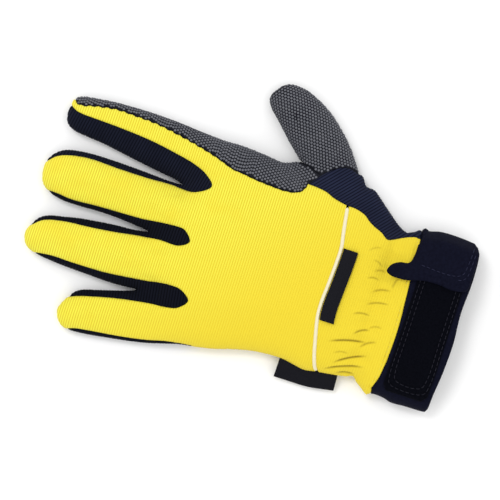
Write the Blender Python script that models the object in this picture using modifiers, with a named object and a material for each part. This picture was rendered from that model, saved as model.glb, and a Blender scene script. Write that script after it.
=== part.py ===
"""Left-hand fishing glove, empty, lying palm down.

Units are metres. +Y runs to the fingertips, +X to the thumb side and +Z up from the surface it lies on.
The origin is at the centre of the glove's bounding box, on that surface.

Every panel is a region of the glove's plan, bounded by the outline (the rim) and by seams. The region is
lifted to the upper or lower face of one rounded form and given the cloth's thickness inwards.
"""
import math
from collections import namedtuple

import bpy
import numpy as np
from mathutils import Vector
from mathutils.geometry import delaunay_2d_cdt

# Hand
PALM_WIDTH = 0.106
PALM_LENGTH = 0.105
HAND_DEPTH = 0.0175
HAND_CROWN = 0.0025
HAND_EDGE = 0.018
WRIST_DEPTH = 0.0160
WRIST_EDGE = 0.0145

# Fingers
LITTLE_LENGTH = 0.0568
LITTLE_WIDTH = 25 / 106 * PALM_WIDTH
LITTLE_LEAN = math.radians(-13.1)
RING_LENGTH = 0.0846
RING_WIDTH = 29.5 / 106 * PALM_WIDTH
RING_LEAN = math.radians(-3.4)
MIDDLE_LENGTH = 0.0860
MIDDLE_WIDTH = 28.5 / 106 * PALM_WIDTH
MIDDLE_LEAN = math.radians(0.3)
INDEX_LENGTH = 0.0828
INDEX_WIDTH = 26 / 106 * PALM_WIDTH
INDEX_LEAN = math.radians(3.9)
THUMB_LENGTH = 0.0552
THUMB_WIDTH = 28 / 106 * PALM_WIDTH
THUMB_LEAN = math.radians(35.4)
FINGER_SPREAD = 1 / 106 * PALM_WIDTH
FINGER_DEPTH = 0.46
KNUCKLE_BLEND = 0.026
WEB_SHARE = 0.27
FINGER_EDGE = 0.45

# Cuff, strap and trim
CUFF_WIDTH = 92 / 106 * PALM_WIDTH
CUFF_LENGTH = 0.0318
CUFF_DEPTH = 0.0190
STRAP_LENGTH = 0.0240
TAB_LENGTH = 0.0130
TAB_CURL = 0.0060
PATCH_LENGTH = 0.0740
SIZE_LABEL_LENGTH = 0.0395
SIZE_LABEL_WIDTH = 0.0078
SIDE_LABEL_LENGTH = 0.0315
SIDE_LABEL_REACH = 0.0095
PIPING_RADIUS = 0.0010
GATHER_DEPTH = 0.0009
GATHER_PITCH = 0.0092
ELASTIC_DEPTH = 0.0014
STRAP_UNDER = 0.0012
STRAP_SHOULDER = 0.0020
SIDE_LABEL_DROP = 0.55

# Cloth
KNIT_THICKNESS = 0.0012
PALM_THICKNESS = 0.0015
CUFF_THICKNESS = 0.0022
STRAP_THICKNESS = 0.0020
PATCH_THICKNESS = 0.0008
LABEL_THICKNESS = 0.0006
GAP = 0.0003
LAYER_GAP = 0.0005
SEAM_TUCK = 0.0032
EDGE_SHARE = 0.38
UNDER_EDGE_SHARE = 0.45

# Fineness of the facets
FACET = 0.0056
FACET_TURN = math.radians(24)
FINE = 0.0006
HEX_ROW = math.sqrt(3) / 2
UPPER_ROWS = (0.0010, 0.0032, 0.0070)
UNDER_ROWS = (0.0008, 0.0021)
PALM_ROWS = (0.0052,)
UPPER_SPACING = FACET * 1.25
WRIST_SPACING = FACET * 0.62
UNDER_SPACING = FACET * 4
CLEARANCE = 0.45
RIM_CLEARANCE = 1.4
STRAIGHT_CORNER = 0.12
MITRE_LIMIT = 4
LABEL_ROWS = 9
LABEL_COLUMNS = 4

# Where the form changes down the hand, as shares of the palm's length below the knuckles
WRIST_RAMP = (0.55, 0.98)
CUFF_RAMP = (1.02, 1.15)
GATHER_RAMP = (0.84, 0.97)
GATHER_END = (1.02, 1.08)
ELASTIC_LINE = 0.985
ELASTIC_SPREAD = 0.035
PLEAT_FAN = 0.25

Finger = namedtuple("Finger", "length width lean base little_edge thumb_edge little_seam thumb_seam")
Chain = namedtuple("Chain", "points move on_rim")
Sheet = namedtuple("Sheet", "points faces under")


def hand_point(out, down):
    """A point of the hand: out is a share of the palm's width, down a share of its length below the knuckles."""
    return np.array([out * PALM_WIDTH, -down * PALM_LENGTH])


def finger_point(finger, along, across):
    """A point of a finger: along and across are shares of its length and width, across plus to the thumb."""
    tipwards = np.array([math.sin(finger.lean), math.cos(finger.lean)])
    sideways = np.array([math.cos(finger.lean), -math.sin(finger.lean)])
    return finger.base + tipwards * along * finger.length + sideways * across * finger.width


def between(first, first_share, second, second_share):
    """The point midway between two neighbouring fingers' own points."""
    return (finger_point(first, *first_share) + finger_point(second, *second_share)) / 2


def smooth(value, low, high):
    """A ramp from 0 at low to 1 at high with level ends."""
    share = np.clip((value - low) / (high - low), 0, 1)
    return share * share * (3 - 2 * share)


# Where each finger starts on the knuckle line, worked out from the ring finger and the fingers' widths
RING_BASE = hand_point(-0.172, 0)
LITTLE_BASE = RING_BASE - np.array([(LITTLE_WIDTH + RING_WIDTH) / 2 - FINGER_SPREAD, 0])
MIDDLE_BASE = RING_BASE + np.array([(RING_WIDTH + MIDDLE_WIDTH) / 2 + FINGER_SPREAD, 0])
INDEX_BASE = MIDDLE_BASE + np.array([(MIDDLE_WIDTH + INDEX_WIDTH) / 2 + FINGER_SPREAD, 0])
THUMB_BASE = hand_point(0.547, 0.610)

# Each finger's outline and seams, in columns along and across. Edges run from the root to the tip on the
# little finger's side and back from the tip on the thumb's side.
LITTLE = Finger(
    LITTLE_LENGTH, LITTLE_WIDTH, LITTLE_LEAN, LITTLE_BASE,
    little_edge=[(-0.13, -0.53), (0.15, -0.56), (0.33, -0.55), (0.51, -0.525), (0.68, -0.49), (0.84, -0.44),
                 (0.90, -0.41), (0.96, -0.34), (1.00, -0.20), (1.01, 0.00), (0.97, 0.16)],
    thumb_edge=[(0.91, 0.305), (0.85, 0.42), (0.78, 0.47), (0.65, 0.485), (0.49, 0.50), (0.38, 0.52)],
    little_seam=[(-0.04, -0.495), (0.14, -0.505), (0.32, -0.49), (0.50, -0.458), (0.675, -0.41),
                 (0.82, -0.385)],
    thumb_seam=[(0.81, 0.34), (0.66, 0.355), (0.50, 0.355), (0.33, 0.34), (0.15, 0.30), (-0.03, 0.25),
                (-0.12, 0.265)])
RING = Finger(
    RING_LENGTH, RING_WIDTH, RING_LEAN, RING_BASE,
    little_edge=[(0.30, -0.517), (0.43, -0.508), (0.54, -0.485), (0.66, -0.452), (0.80, -0.40),
                 (0.91, -0.341), (0.965, -0.27), (0.995, -0.16), (1.003, 0.00)],
    thumb_edge=[(0.982, 0.15), (0.938, 0.309), (0.886, 0.385), (0.784, 0.435), (0.70, 0.475), (0.58, 0.503),
                (0.46, 0.52), (0.345, 0.524)],
    little_seam=[(-0.04, -0.305), (0.02, -0.275), (0.10, -0.282), (0.20, -0.323), (0.32, -0.347),
                 (0.48, -0.363), (0.66, -0.345), (0.80, -0.315)],
    thumb_seam=[(0.905, 0.296), (0.774, 0.366), (0.62, 0.377), (0.465, 0.402), (0.31, 0.45), (0.17, 0.46),
                (0.04, 0.448)])
MIDDLE = Finger(
    MIDDLE_LENGTH, MIDDLE_WIDTH, MIDDLE_LEAN, MIDDLE_BASE,
    little_edge=[(0.35, -0.50), (0.46, -0.475), (0.58, -0.473), (0.70, -0.486), (0.81, -0.484),
                 (0.88, -0.451), (0.925, -0.402), (0.967, -0.312), (0.992, -0.165)],
    thumb_edge=[(0.996, 0.126), (0.971, 0.274), (0.934, 0.387), (0.885, 0.458), (0.79, 0.505), (0.64, 0.526),
                (0.47, 0.518), (0.33, 0.503), (0.24, 0.494)],
    little_seam=[(0.045, -0.292), (0.09, -0.275), (0.185, -0.298), (0.30, -0.349), (0.46, -0.377),
                 (0.63, -0.404), (0.77, -0.43), (0.86, -0.405)],
    thumb_seam=[(0.946, 0.27), (0.873, 0.365), (0.733, 0.429), (0.56, 0.418), (0.37, 0.422), (0.21, 0.452),
                (0.07, 0.427)])
INDEX = Finger(
    INDEX_LENGTH, INDEX_WIDTH, INDEX_LEAN, INDEX_BASE,
    little_edge=[(0.23, -0.525), (0.35, -0.502), (0.47, -0.47), (0.60, -0.432), (0.72, -0.401),
                 (0.84, -0.389), (0.924, -0.365), (0.975, -0.28), (0.998, -0.115)],
    thumb_edge=[(1.00, 0.089), (0.993, 0.244), (0.952, 0.342), (0.845, 0.427), (0.71, 0.50), (0.50, 0.566),
                (0.33, 0.587), (0.16, 0.582), (-0.01, 0.589)],
    little_seam=[(0.02, -0.216), (0.12, -0.103), (0.27, -0.031), (0.44, 0.016), (0.63, 0.023), (0.79, 0.008),
                 (0.90, 0.00), (0.95, 0.02)],
    thumb_seam=[(0.948, 0.166), (0.83, 0.269), (0.71, 0.361), (0.565, 0.381), (0.42, 0.386), (0.26, 0.34),
                (0.14, 0.282), (0.00, 0.20), (-0.13, 0.094)])
THUMB = Finger(
    THUMB_LENGTH, THUMB_WIDTH, THUMB_LEAN, THUMB_BASE,
    little_edge=[(0.31, -0.465), (0.36, -0.452), (0.52, -0.417), (0.64, -0.375), (0.77, -0.333),
                 (0.875, -0.306), (0.946, -0.253), (0.986, -0.156)],
    thumb_edge=[(0.994, 0.008), (0.987, 0.162), (0.947, 0.285), (0.825, 0.439), (0.676, 0.52), (0.51, 0.554),
                (0.31, 0.531), (0.11, 0.455), (-0.04, 0.357)],
    little_seam=[],
    thumb_seam=[])
FINGERS = (LITTLE, RING, MIDDLE, INDEX, THUMB)

# The hand's own edges and seams, in columns out and down
LITTLE_SIDE = [(-0.511, 0.170), (-0.489, 0.284), (-0.463, 0.375), (-0.437, 0.484), (-0.429, 0.614),
               (-0.449, 0.747), (-0.438, 0.816), (-0.425, 0.918), (-0.416, 0.967), (-0.405, 0.997),
               (-0.426, 1.019), (-0.445, 1.049), (-0.470, 1.090)]
THUMB_SIDE = [(0.524, 0.095), (0.517, 0.222), (0.509, 0.330), (0.528, 0.378)]
GUSSET_SIDE = [(0.562, 0.735), (0.522, 0.765), (0.516, 0.812), (0.490, 0.850), (0.434, 0.921),
               (0.380, 0.993), (0.365, 1.035), (0.383, 1.070), (0.395, 1.088)]
PALM_SEAM = [(0.390, 0.146), (0.380, 0.222), (0.3745, 0.305), (0.371, 0.367), (0.378, 0.426), (0.396, 0.459),
             (0.415, 0.471)]
GUSSET_TOP = (0.440, 0.480)
GUSSET_SEAM = [(0.437, 0.527), (0.429, 0.578), (0.412, 0.622), (0.402, 0.667)]
PIPING_END = (0.397, 0.701)
WRIST_SEAM = [(0.396, 0.743), (0.380, 0.800), (0.358, 0.830), (0.340, 0.864), (0.323, 0.908), (0.300, 0.945),
              (0.310, 0.974), (0.331, 1.011), (0.350, 1.049), (0.357, 1.078)]
THUMB_BASE_SEAM = [(0.575, 0.690), (0.580, 0.655), (0.557, 0.593), (0.520, 0.549)]
THUMB_WEB_FOOT = (0.500, 0.530)
THUMB_WEB_SEAM = [(0.512, 0.495), (0.527, 0.450)]
PIPING_LINE = [(-0.416, 0.796), (-0.364, 0.775), (-0.291, 0.755), (-0.173, 0.728), (-0.107, 0.724),
               (0.004, 0.730), (0.114, 0.735), (0.188, 0.735), (0.261, 0.722), (0.335, 0.710)]
HEM_LINE = [(-0.364, 1.116), (-0.220, 1.127), (-0.110, 1.129), (0.040, 1.120), (0.150, 1.112)]
HEM_LITTLE_END = (-0.458, 1.110)
HEM_GUSSET_END = (0.354, 1.105)
HEM_THUMB_END = (0.396, 1.103)

# The cuff, in columns across (share of its width from its centre) and down (share of its length)
CUFF_CENTRE = -0.030
CUFF_LITTLE_SIDE = [(-0.493, 0.22), (-0.506, 0.36), (-0.503, 0.60), (-0.500, 0.93)]
CUFF_THUMB_SIDE = [(0.475, 0.08), (0.492, 0.30), (0.494, 0.60), (0.486, 0.90)]
CUFF_END_LINE = [(-0.40, 0.965), (-0.24, 0.995), (-0.08, 1.010), (0.10, 0.975), (0.30, 1.000)]
CUFF_TAIL = 1.9

# The loop patch, the strap's free end and its pull tab, in columns out (share of the piece's length from its
# own end) and down (share of the cuff's length), or up for the tab (share of the tab's length)
PATCH_START = -0.440
PATCH_ROWS = [(0.00, 0.20), (0.00, 0.80), (0.04, 0.88), (1.00, 0.88), (1.00, 0.12), (0.04, 0.12)]
STRAP_CORNER = [(0.470, 0.950), (0.440, 0.965), (0.320, 0.965)]
STRAP_FREE_EDGE = [(0.13, 0.96), (0.03, 0.91), (-0.03, 0.70), (0.00, 0.45), (-0.02, 0.22)]
TAB_EDGE = [(-0.115, 0.10), (-0.135, 0.45), (-0.125, 0.80), (-0.055, 1.02), (0.10, 0.92), (0.215, 0.60),
            (0.275, 0.22)]


def cuff_point(across, down):
    """A point of the cuff, from the hem line down."""
    hem = hand_point(CUFF_CENTRE, 1.108)
    return hem + np.array([across * CUFF_WIDTH, -down * CUFF_LENGTH])


def smooth_curve(controls):
    """Fine points of a smooth curve through controls, and where each control is among them."""
    controls = np.array(controls, dtype=float)
    lengths = np.linalg.norm(np.diff(controls, axis=0), axis=1)
    steps = np.sqrt(lengths)[:, None]
    slopes = np.diff(controls, axis=0) / steps
    middle = (slopes[:-1] * steps[1:] + slopes[1:] * steps[:-1]) / (steps[1:] + steps[:-1])
    tangents = np.vstack([slopes[:1], middle, slopes[-1:]])
    points = []
    places = [0]
    for index, length in enumerate(lengths):
        count = max(2, math.ceil(length / FINE))
        t = (np.arange(count) / count)[:, None]
        start = controls[index] * (2 * t**3 - 3 * t**2 + 1) + controls[index + 1] * (3 * t**2 - 2 * t**3)
        pull = tangents[index] * (t**3 - 2 * t**2 + t) + tangents[index + 1] * (t**3 - t**2)
        points.append(start + pull * steps[index])
        places.append(places[-1] + count)
    points.append(controls[-1:])
    return np.vstack(points), places


def facet_points(points, fixed=()):
    """Indices of the points to keep for straight facets: the ends, the fixed ones and where length or turn adds up."""
    keep = [0]
    fixed = {0, *fixed}
    run = 0.0
    turn = 0.0
    for index in range(1, len(points) - 1):
        back = points[index] - points[index - 1]
        ahead = points[index + 1] - points[index]
        run += np.linalg.norm(back)
        cross = back[0] * ahead[1] - back[1] * ahead[0]
        turn += abs(math.atan2(cross, back @ ahead))
        if index in fixed or run > FACET or turn > FACET_TURN:
            if index in fixed and run < FACET / 2 and keep[-1] not in fixed:
                keep.pop()
            keep.append(index)
            run = 0.0
            turn = 0.0
    keep.append(len(points) - 1)
    return keep


def faceted(controls):
    """A smooth curve through controls, as facets."""
    points, _ = smooth_curve(controls)
    return points[facet_points(points)]


def rim_controls():
    """The outline's control points from the cuff's end on the little finger's side round to the thumb's side."""
    rows = [(None, cuff_point(-0.50, CUFF_TAIL)), (None, cuff_point(-0.50, 1.25))]
    rows += [(None, cuff_point(*row)) for row in reversed(CUFF_LITTLE_SIDE)]
    rows.insert(2, ("cuff_end_little", cuff_point(-0.497, 0.975)))
    rows.append(("hem_little", hand_point(*HEM_LITTLE_END)))
    side = [(None, hand_point(*row)) for row in reversed(LITTLE_SIDE)]
    side[6] = ("piping_little", side[6][1])
    side[-1] = ("strip_root", side[-1][1])
    rows += side
    rows += finger_rows(LITTLE, {6: "strip_tip"}, {0: "little_thumb"})
    rows.append((None, between(LITTLE, (0.287, 0.554), RING, (0.236, -0.517))))
    rows += finger_rows(RING, {5: "ring_little"}, {0: "ring_thumb"})
    rows.append((None, between(RING, (0.26, 0.564), MIDDLE, (0.266, -0.534))))
    rows += finger_rows(MIDDLE, {6: "middle_little"}, {0: "middle_thumb"})
    rows.append((None, between(MIDDLE, (0.158, 0.499), INDEX, (0.151, -0.565))))
    rows += finger_rows(INDEX, {}, {0: "index_little", 1: "index_thumb"})
    rows += [(None, hand_point(*row)) for row in THUMB_SIDE]
    rows += finger_rows(THUMB, {0: "thumb_web"}, {})
    rows.append(("gusset_thumb", finger_point(THUMB, -0.13, 0.30)))
    rows += [(None, hand_point(*row)) for row in GUSSET_SIDE]
    rows.append(("hem_thumb", hand_point(*HEM_THUMB_END)))
    rows += [(None, cuff_point(*row)) for row in CUFF_THUMB_SIDE]
    rows[-1] = ("strap_corner", rows[-1][1])
    rows.append(("cuff_end_thumb", cuff_point(0.482, 1.0)))
    rows += [(None, cuff_point(0.482, 1.25)), (None, cuff_point(0.482, CUFF_TAIL))]
    return rows


def finger_rows(finger, little_marks, thumb_marks):
    """A finger's outline controls, with the names of those where a seam meets the rim."""
    rows = [(little_marks.get(i), finger_point(finger, *row)) for i, row in enumerate(finger.little_edge)]
    return rows + [(thumb_marks.get(i), finger_point(finger, *row)) for i, row in enumerate(finger.thumb_edge)]


def make_rim():
    """The faceted rim, its outward normals, and where each named point is on it."""
    rows = rim_controls()
    points, places = smooth_curve([point for _, point in rows])
    named = {name: place for (name, _), place in zip(rows, places) if name}
    keep = facet_points(points, named.values())
    rim = points[keep]
    marks = {name: keep.index(place) for name, place in named.items()}
    ahead = np.diff(rim, axis=0)
    ahead /= np.linalg.norm(ahead, axis=1)[:, None]
    tangents = np.vstack([ahead[:1], ahead[:-1] + ahead[1:], ahead[-1:]])
    tangents /= np.linalg.norm(tangents, axis=1)[:, None]
    return rim, np.column_stack([-tangents[:, 1], tangents[:, 0]]), marks


RIM, RIM_OUTWARD, RIM_MARKS = make_rim()


def rim_part(first, last):
    """The rim's points from one named point to another."""
    return RIM[RIM_MARKS[first]:RIM_MARKS[last] + 1]


def nearest(points, line, normals=None):
    """Distance from points to a line of facets, and there the line's own normal turned to each point."""
    start = line[:-1]
    ahead = line[1:] - start
    offset = points[:, None, :] - start[None]
    share = np.clip((offset * ahead).sum(2) / (ahead * ahead).sum(1), 0, 1)
    apart = np.linalg.norm(offset - share[..., None] * ahead, axis=2)
    best = apart.argmin(1)
    row = np.arange(len(points))
    distance = apart[row, best]
    if normals is None:
        return distance
    share = share[row, best][:, None]
    own = normals[best] * (1 - share) + normals[best + 1] * share
    own /= np.linalg.norm(own, axis=1)[:, None]
    away = start[best] + share * ahead[best] - points
    away /= np.maximum(distance, 1e-9)[:, None]
    blend = smooth(distance, 0, 0.001)[:, None]
    outward = own * (1 - blend) + away * blend
    return distance, outward / np.maximum(np.linalg.norm(outward, axis=1), 1e-9)[:, None]


def form_fields(points):
    """How deep the glove is at points of the plan, and how far in from the rim its rounded edge reaches."""
    down = -points[:, 1] / PALM_LENGTH
    to_wrist = smooth(down, *WRIST_RAMP)
    to_cuff = smooth(down, *CUFF_RAMP)
    depth = HAND_DEPTH + (WRIST_DEPTH - HAND_DEPTH) * to_wrist + (CUFF_DEPTH - WRIST_DEPTH) * to_cuff
    edge = HAND_EDGE + (WRIST_EDGE - HAND_EDGE) * to_wrist
    total = np.zeros(len(points))
    finger_depth = np.zeros(len(points))
    finger_edge = np.zeros(len(points))
    for finger in FINGERS:
        tipwards = np.array([math.sin(finger.lean), math.cos(finger.lean)])
        along = (points - finger.base) @ tipwards
        across = (points - finger.base) @ np.array([tipwards[1], -tipwards[0]])
        web = WEB_SHARE * finger.length
        weight = smooth(along, web - KNUCKLE_BLEND, web)
        weight = weight * (1 - smooth(abs(across), 0.60 * finger.width, 0.95 * finger.width))
        total += weight
        finger_depth += weight * FINGER_DEPTH * finger.width
        finger_edge += weight * FINGER_EDGE * finger.width
    share = np.clip(total, 0, 1)
    total = np.maximum(total, 1e-9)
    depth = depth * (1 - share) + finger_depth / total * share
    edge = edge * (1 - share) + finger_edge / total * share
    return depth, edge


def gathers(points):
    """How far the wrist's pleats and the elastic pull the upper face down."""
    down = -points[:, 1] / PALM_LENGTH
    fan = 1 + PLEAT_FAN * (1 - smooth(down, *GATHER_RAMP))
    wave = 0.5 - 0.5 * np.cos(2 * math.pi * points[:, 0] / (GATHER_PITCH * fan))
    reach = smooth(down, *GATHER_RAMP) * (1 - smooth(down, *GATHER_END))
    inside = 1 - smooth(points[:, 0], 0.24 * PALM_WIDTH, 0.30 * PALM_WIDTH)
    elastic = ELASTIC_DEPTH * np.exp(-((down - ELASTIC_LINE) / ELASTIC_SPREAD) ** 2)
    return GATHER_DEPTH * wave * reach * inside + elastic


def upper_face(points):
    """The glove's upper face: positions and outward normals over points of the plan."""
    distance, outward = nearest(points, RIM, RIM_OUTWARD)
    depth, edge = form_fields(points)
    rise = depth * (1 - EDGE_SHARE)
    inwards = 1 - np.clip(distance / edge, 0, 1)
    round_share = np.sqrt(1 - inwards**2)
    crown = HAND_CROWN * smooth(distance, 0.6 * edge, edge + 0.5 * HAND_EDGE)
    height = depth * EDGE_SHARE + rise * round_share + crown - gathers(points) * round_share
    level = inwards / edge
    normals = np.column_stack([outward * level[:, None], round_share / rise])
    normals /= np.linalg.norm(normals, axis=1)[:, None]
    return np.column_stack([points, height]), normals


def lower_face(points):
    """The glove's lower face, flat on the surface but for its rounded edge."""
    distance, outward = nearest(points, RIM, RIM_OUTWARD)
    depth, edge = form_fields(points)
    lift = depth * EDGE_SHARE
    edge = edge * UNDER_EDGE_SHARE
    inwards = 1 - np.clip(distance / edge, 0, 1)
    round_share = np.sqrt(1 - inwards**2)
    normals = np.column_stack([outward * (inwards / edge)[:, None], -round_share / lift])
    normals /= np.linalg.norm(normals, axis=1)[:, None]
    return np.column_stack([points, lift * (1 - round_share)]), normals


def cross(first, second):
    """Cross product of vectors of the plan."""
    return first[..., 0] * second[..., 1] - first[..., 1] * second[..., 0]


def signed_area(loop):
    """The area inside a loop, plus if it runs anticlockwise."""
    ahead = np.roll(loop, -1, axis=0)
    return 0.5 * float((loop[:, 0] * ahead[:, 1] - loop[:, 1] * ahead[:, 0]).sum())


def drawn_in(chains):
    """Join chains end to end into a loop whose edges move inwards, and give back the parts on the rim."""
    points = np.vstack([chain.points[:-1] for chain in chains])
    moves = np.concatenate([[chain.move] * (len(chain.points) - 1) for chain in chains])
    ahead = np.roll(points, -1, axis=0) - points
    ahead /= np.linalg.norm(ahead, axis=1)[:, None]
    inward = np.column_stack([-ahead[:, 1], ahead[:, 0]]) * np.sign(signed_area(points))
    moved = points.copy()
    for index in range(len(points)):
        first = inward[index - 1]
        second = inward[index]
        corner = first[0] * second[1] - first[1] * second[0]
        if abs(corner) < STRAIGHT_CORNER:
            moved[index] += (first + second) / 2 * (moves[index - 1] + moves[index]) / 2
            continue
        shift = np.array([moves[index - 1] * second[1] - moves[index] * first[1],
                          moves[index] * first[0] - moves[index - 1] * second[0]]) / corner
        reach = max(moves[index - 1], moves[index]) * MITRE_LIMIT
        length = np.linalg.norm(shift)
        moved[index] += shift * min(1, reach / max(length, 1e-9))
    on_rim = []
    start = 0
    for chain in chains:
        count = len(chain.points) - 1
        if chain.on_rim:
            on_rim.append(moved[np.arange(start, start + count + 1) % len(moved)])
        start += count
    return moved, on_rim


def inset(part, depth):
    """Points a little inside the rim beside part of it, without those that a sharp corner would cross.

    Each end goes in along the normal of the rim's own nearest point, so that two panels' ends stay side by side.
    """
    _, outward = nearest(part, RIM, RIM_OUTWARD)
    for end in (0, -1):
        outward[end] = RIM_OUTWARD[np.linalg.norm(RIM - part[end], axis=1).argmin()]
    points = part - outward * depth
    clear = nearest(points, RIM) > 0.97 * depth
    for end, neighbour in ((0, 1), (-1, -2)):
        line = points[end] - part[end]
        this_side = cross(line, part[neighbour] - part[end]) * cross(line, points - part[end]) > 0
        clear &= this_side | (np.linalg.norm(points - part[end], axis=1) > 3 * depth)
        clear &= np.linalg.norm(points - points[end], axis=1) > 0.3 * depth
    clear[0] = True
    clear[-1] = True
    return points[clear]


def inside(loop, points):
    """Which points lie inside a loop."""
    result = np.zeros(len(points), dtype=bool)
    start = loop
    end = np.roll(loop, -1, axis=0)
    for (x1, y1), (x2, y2) in zip(start, end):
        spans = (y1 > points[:, 1]) != (y2 > points[:, 1])
        if not spans.any():
            continue
        crossing = x1 + (points[:, 1] - y1) / (y2 - y1) * (x2 - x1)
        result ^= spans & (points[:, 0] < crossing)
    return result


def fill(loop, rows, spacing):
    """Triangles that fill a loop, with points in rows beside the rim and at a spacing elsewhere."""
    steps = np.array([spacing, spacing * HEX_ROW])
    low = np.floor(loop.min(0) / steps).astype(int)
    high = np.ceil(loop.max(0) / steps).astype(int)
    candidates = [RIM - RIM_OUTWARD * row for row in rows]
    clearances = [np.full(len(RIM), CLEARANCE * row) for row in rows]
    columns, lines = np.meshgrid(np.arange(low[0], high[0] + 1), np.arange(low[1], high[1] + 1))
    grid = np.column_stack([(columns + lines % 2 / 2).ravel(), lines.ravel()]) * steps
    grid = grid[nearest(grid, RIM) > (rows[-1] if rows else 0) + 0.5 * spacing]
    candidates.append(grid)
    clearances.append(np.full(len(grid), CLEARANCE * spacing))
    candidates = np.vstack(candidates)
    clearances = np.concatenate(clearances)
    ring = np.vstack([loop, loop[:1]])
    held = inside(loop, candidates)
    candidates = candidates[held]
    clearances = clearances[held]
    if len(candidates):
        held = nearest(candidates, ring) > clearances
        held &= nearest(candidates, RIM) > RIM_CLEARANCE * clearances
        candidates = candidates[held]
    points = np.vstack([loop, candidates])
    edges = [(index, (index + 1) % len(loop)) for index in range(len(loop))]
    _, _, faces, sources, _, _ = delaunay_2d_cdt([Vector(p) for p in points], edges, [], 1, 1e-7)
    triangles = []
    for face in faces:
        corners = [sources[index][0] for index in face]
        if signed_area(points[corners]) < 0:
            corners.reverse()
        triangles.append(corners)
    return points, triangles


def upper_sheet(loop, spacing=UPPER_SPACING):
    points, faces = fill(loop, UPPER_ROWS, spacing)
    return Sheet(points, faces, False)


def lower_sheet(loop, rows=UNDER_ROWS, spacing=UNDER_SPACING):
    points, faces = fill(loop, rows, spacing)
    return Sheet(points, [list(reversed(face)) for face in faces], True)


def tuck(part):
    """The strip of the lower face beside part of the rim, as far as the palm's seam."""
    return lower_sheet(np.vstack([part, inset(part, SEAM_TUCK)[::-1]]))


def glove_object(name, mesh, material):
    """Link a mesh or curve to the glove's collection under a name, with its material."""
    item = bpy.data.objects.new(name, mesh)
    mesh.materials.append(material)
    COLLECTION.objects.link(item)
    return item


def cloth(name, sheets, material, outer=0.0, inner=-KNIT_THICKNESS, lift=None):
    """A closed piece of cloth over sheets that meet at the rim, between two distances from the form's face."""
    index_of = {}
    positions = []
    normals = []
    faces = []
    for sheet in sheets:
        face = lower_face if sheet.under else upper_face
        spots, directions = face(sheet.points)
        on_rim = nearest(sheet.points, RIM) < 1e-7
        numbers = []
        for row, point in enumerate(sheet.points):
            key = (point[0], point[1], bool(sheet.under and not on_rim[row]))
            if key not in index_of:
                index_of[key] = len(positions)
                positions.append(spots[row])
                normals.append(directions[row])
            numbers.append(index_of[key])
        faces += [[numbers[corner] for corner in triangle] for triangle in sheet.faces]
    positions = np.array(positions)
    normals = np.array(normals)
    plan = positions[:, :2]
    outer = (outer(plan) if callable(outer) else np.full(len(plan), outer))[:, None]
    inner = (inner(plan) if callable(inner) else np.full(len(plan), inner))[:, None]
    if lift:
        positions[:, 2] += lift(plan)
    return glove_object(name, closed_mesh(name, positions + normals * outer, positions + normals * inner, faces),
                        material)


def closed_mesh(name, outer, inner, faces):
    """A closed mesh from an outer and an inner layer with the same faces, joined round their open edges."""
    used = sorted({corner for face in faces for corner in face})
    number = {corner: place for place, corner in enumerate(used)}
    count = len(used)
    faces = [[number[corner] for corner in face] for face in faces]
    edges = {(face[i], face[(i + 1) % len(face)]) for face in faces for i in range(len(face))}
    border = [edge for edge in edges if (edge[1], edge[0]) not in edges]
    walls = [(second, first, first + count, second + count) for first, second in sorted(border)]
    under = [[corner + count for corner in reversed(face)] for face in faces]
    mesh = bpy.data.meshes.new(name)
    mesh.from_pydata(np.vstack([outer[used], inner[used]]).tolist(), [], faces + under + walls)
    mesh.shade_smooth()
    mesh.set_sharp_from_angle(angle=math.radians(40))
    return mesh


def seam(*points):
    """Chain of a seam between two panels, each of which stays half a gap away from it."""
    return Chain(np.array(points) if len(points) > 1 else points[0], GAP / 2, False)


def rim(first, last):
    return Chain(rim_part(first, last), 0.0, True)


def reverse(chain):
    return Chain(chain.points[::-1], chain.move, chain.on_rim)


def mark(name):
    return RIM[RIM_MARKS[name]]


def under_mark(name):
    """The point of the palm's seam that lies straight in from a named point of the rim."""
    return mark(name) - RIM_OUTWARD[RIM_MARKS[name]] * (SEAM_TUCK + GAP)


def finger_controls(finger, rows):
    return [finger_point(finger, *row) for row in rows]


def hand_controls(rows):
    return [hand_point(*row) for row in rows]


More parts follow.
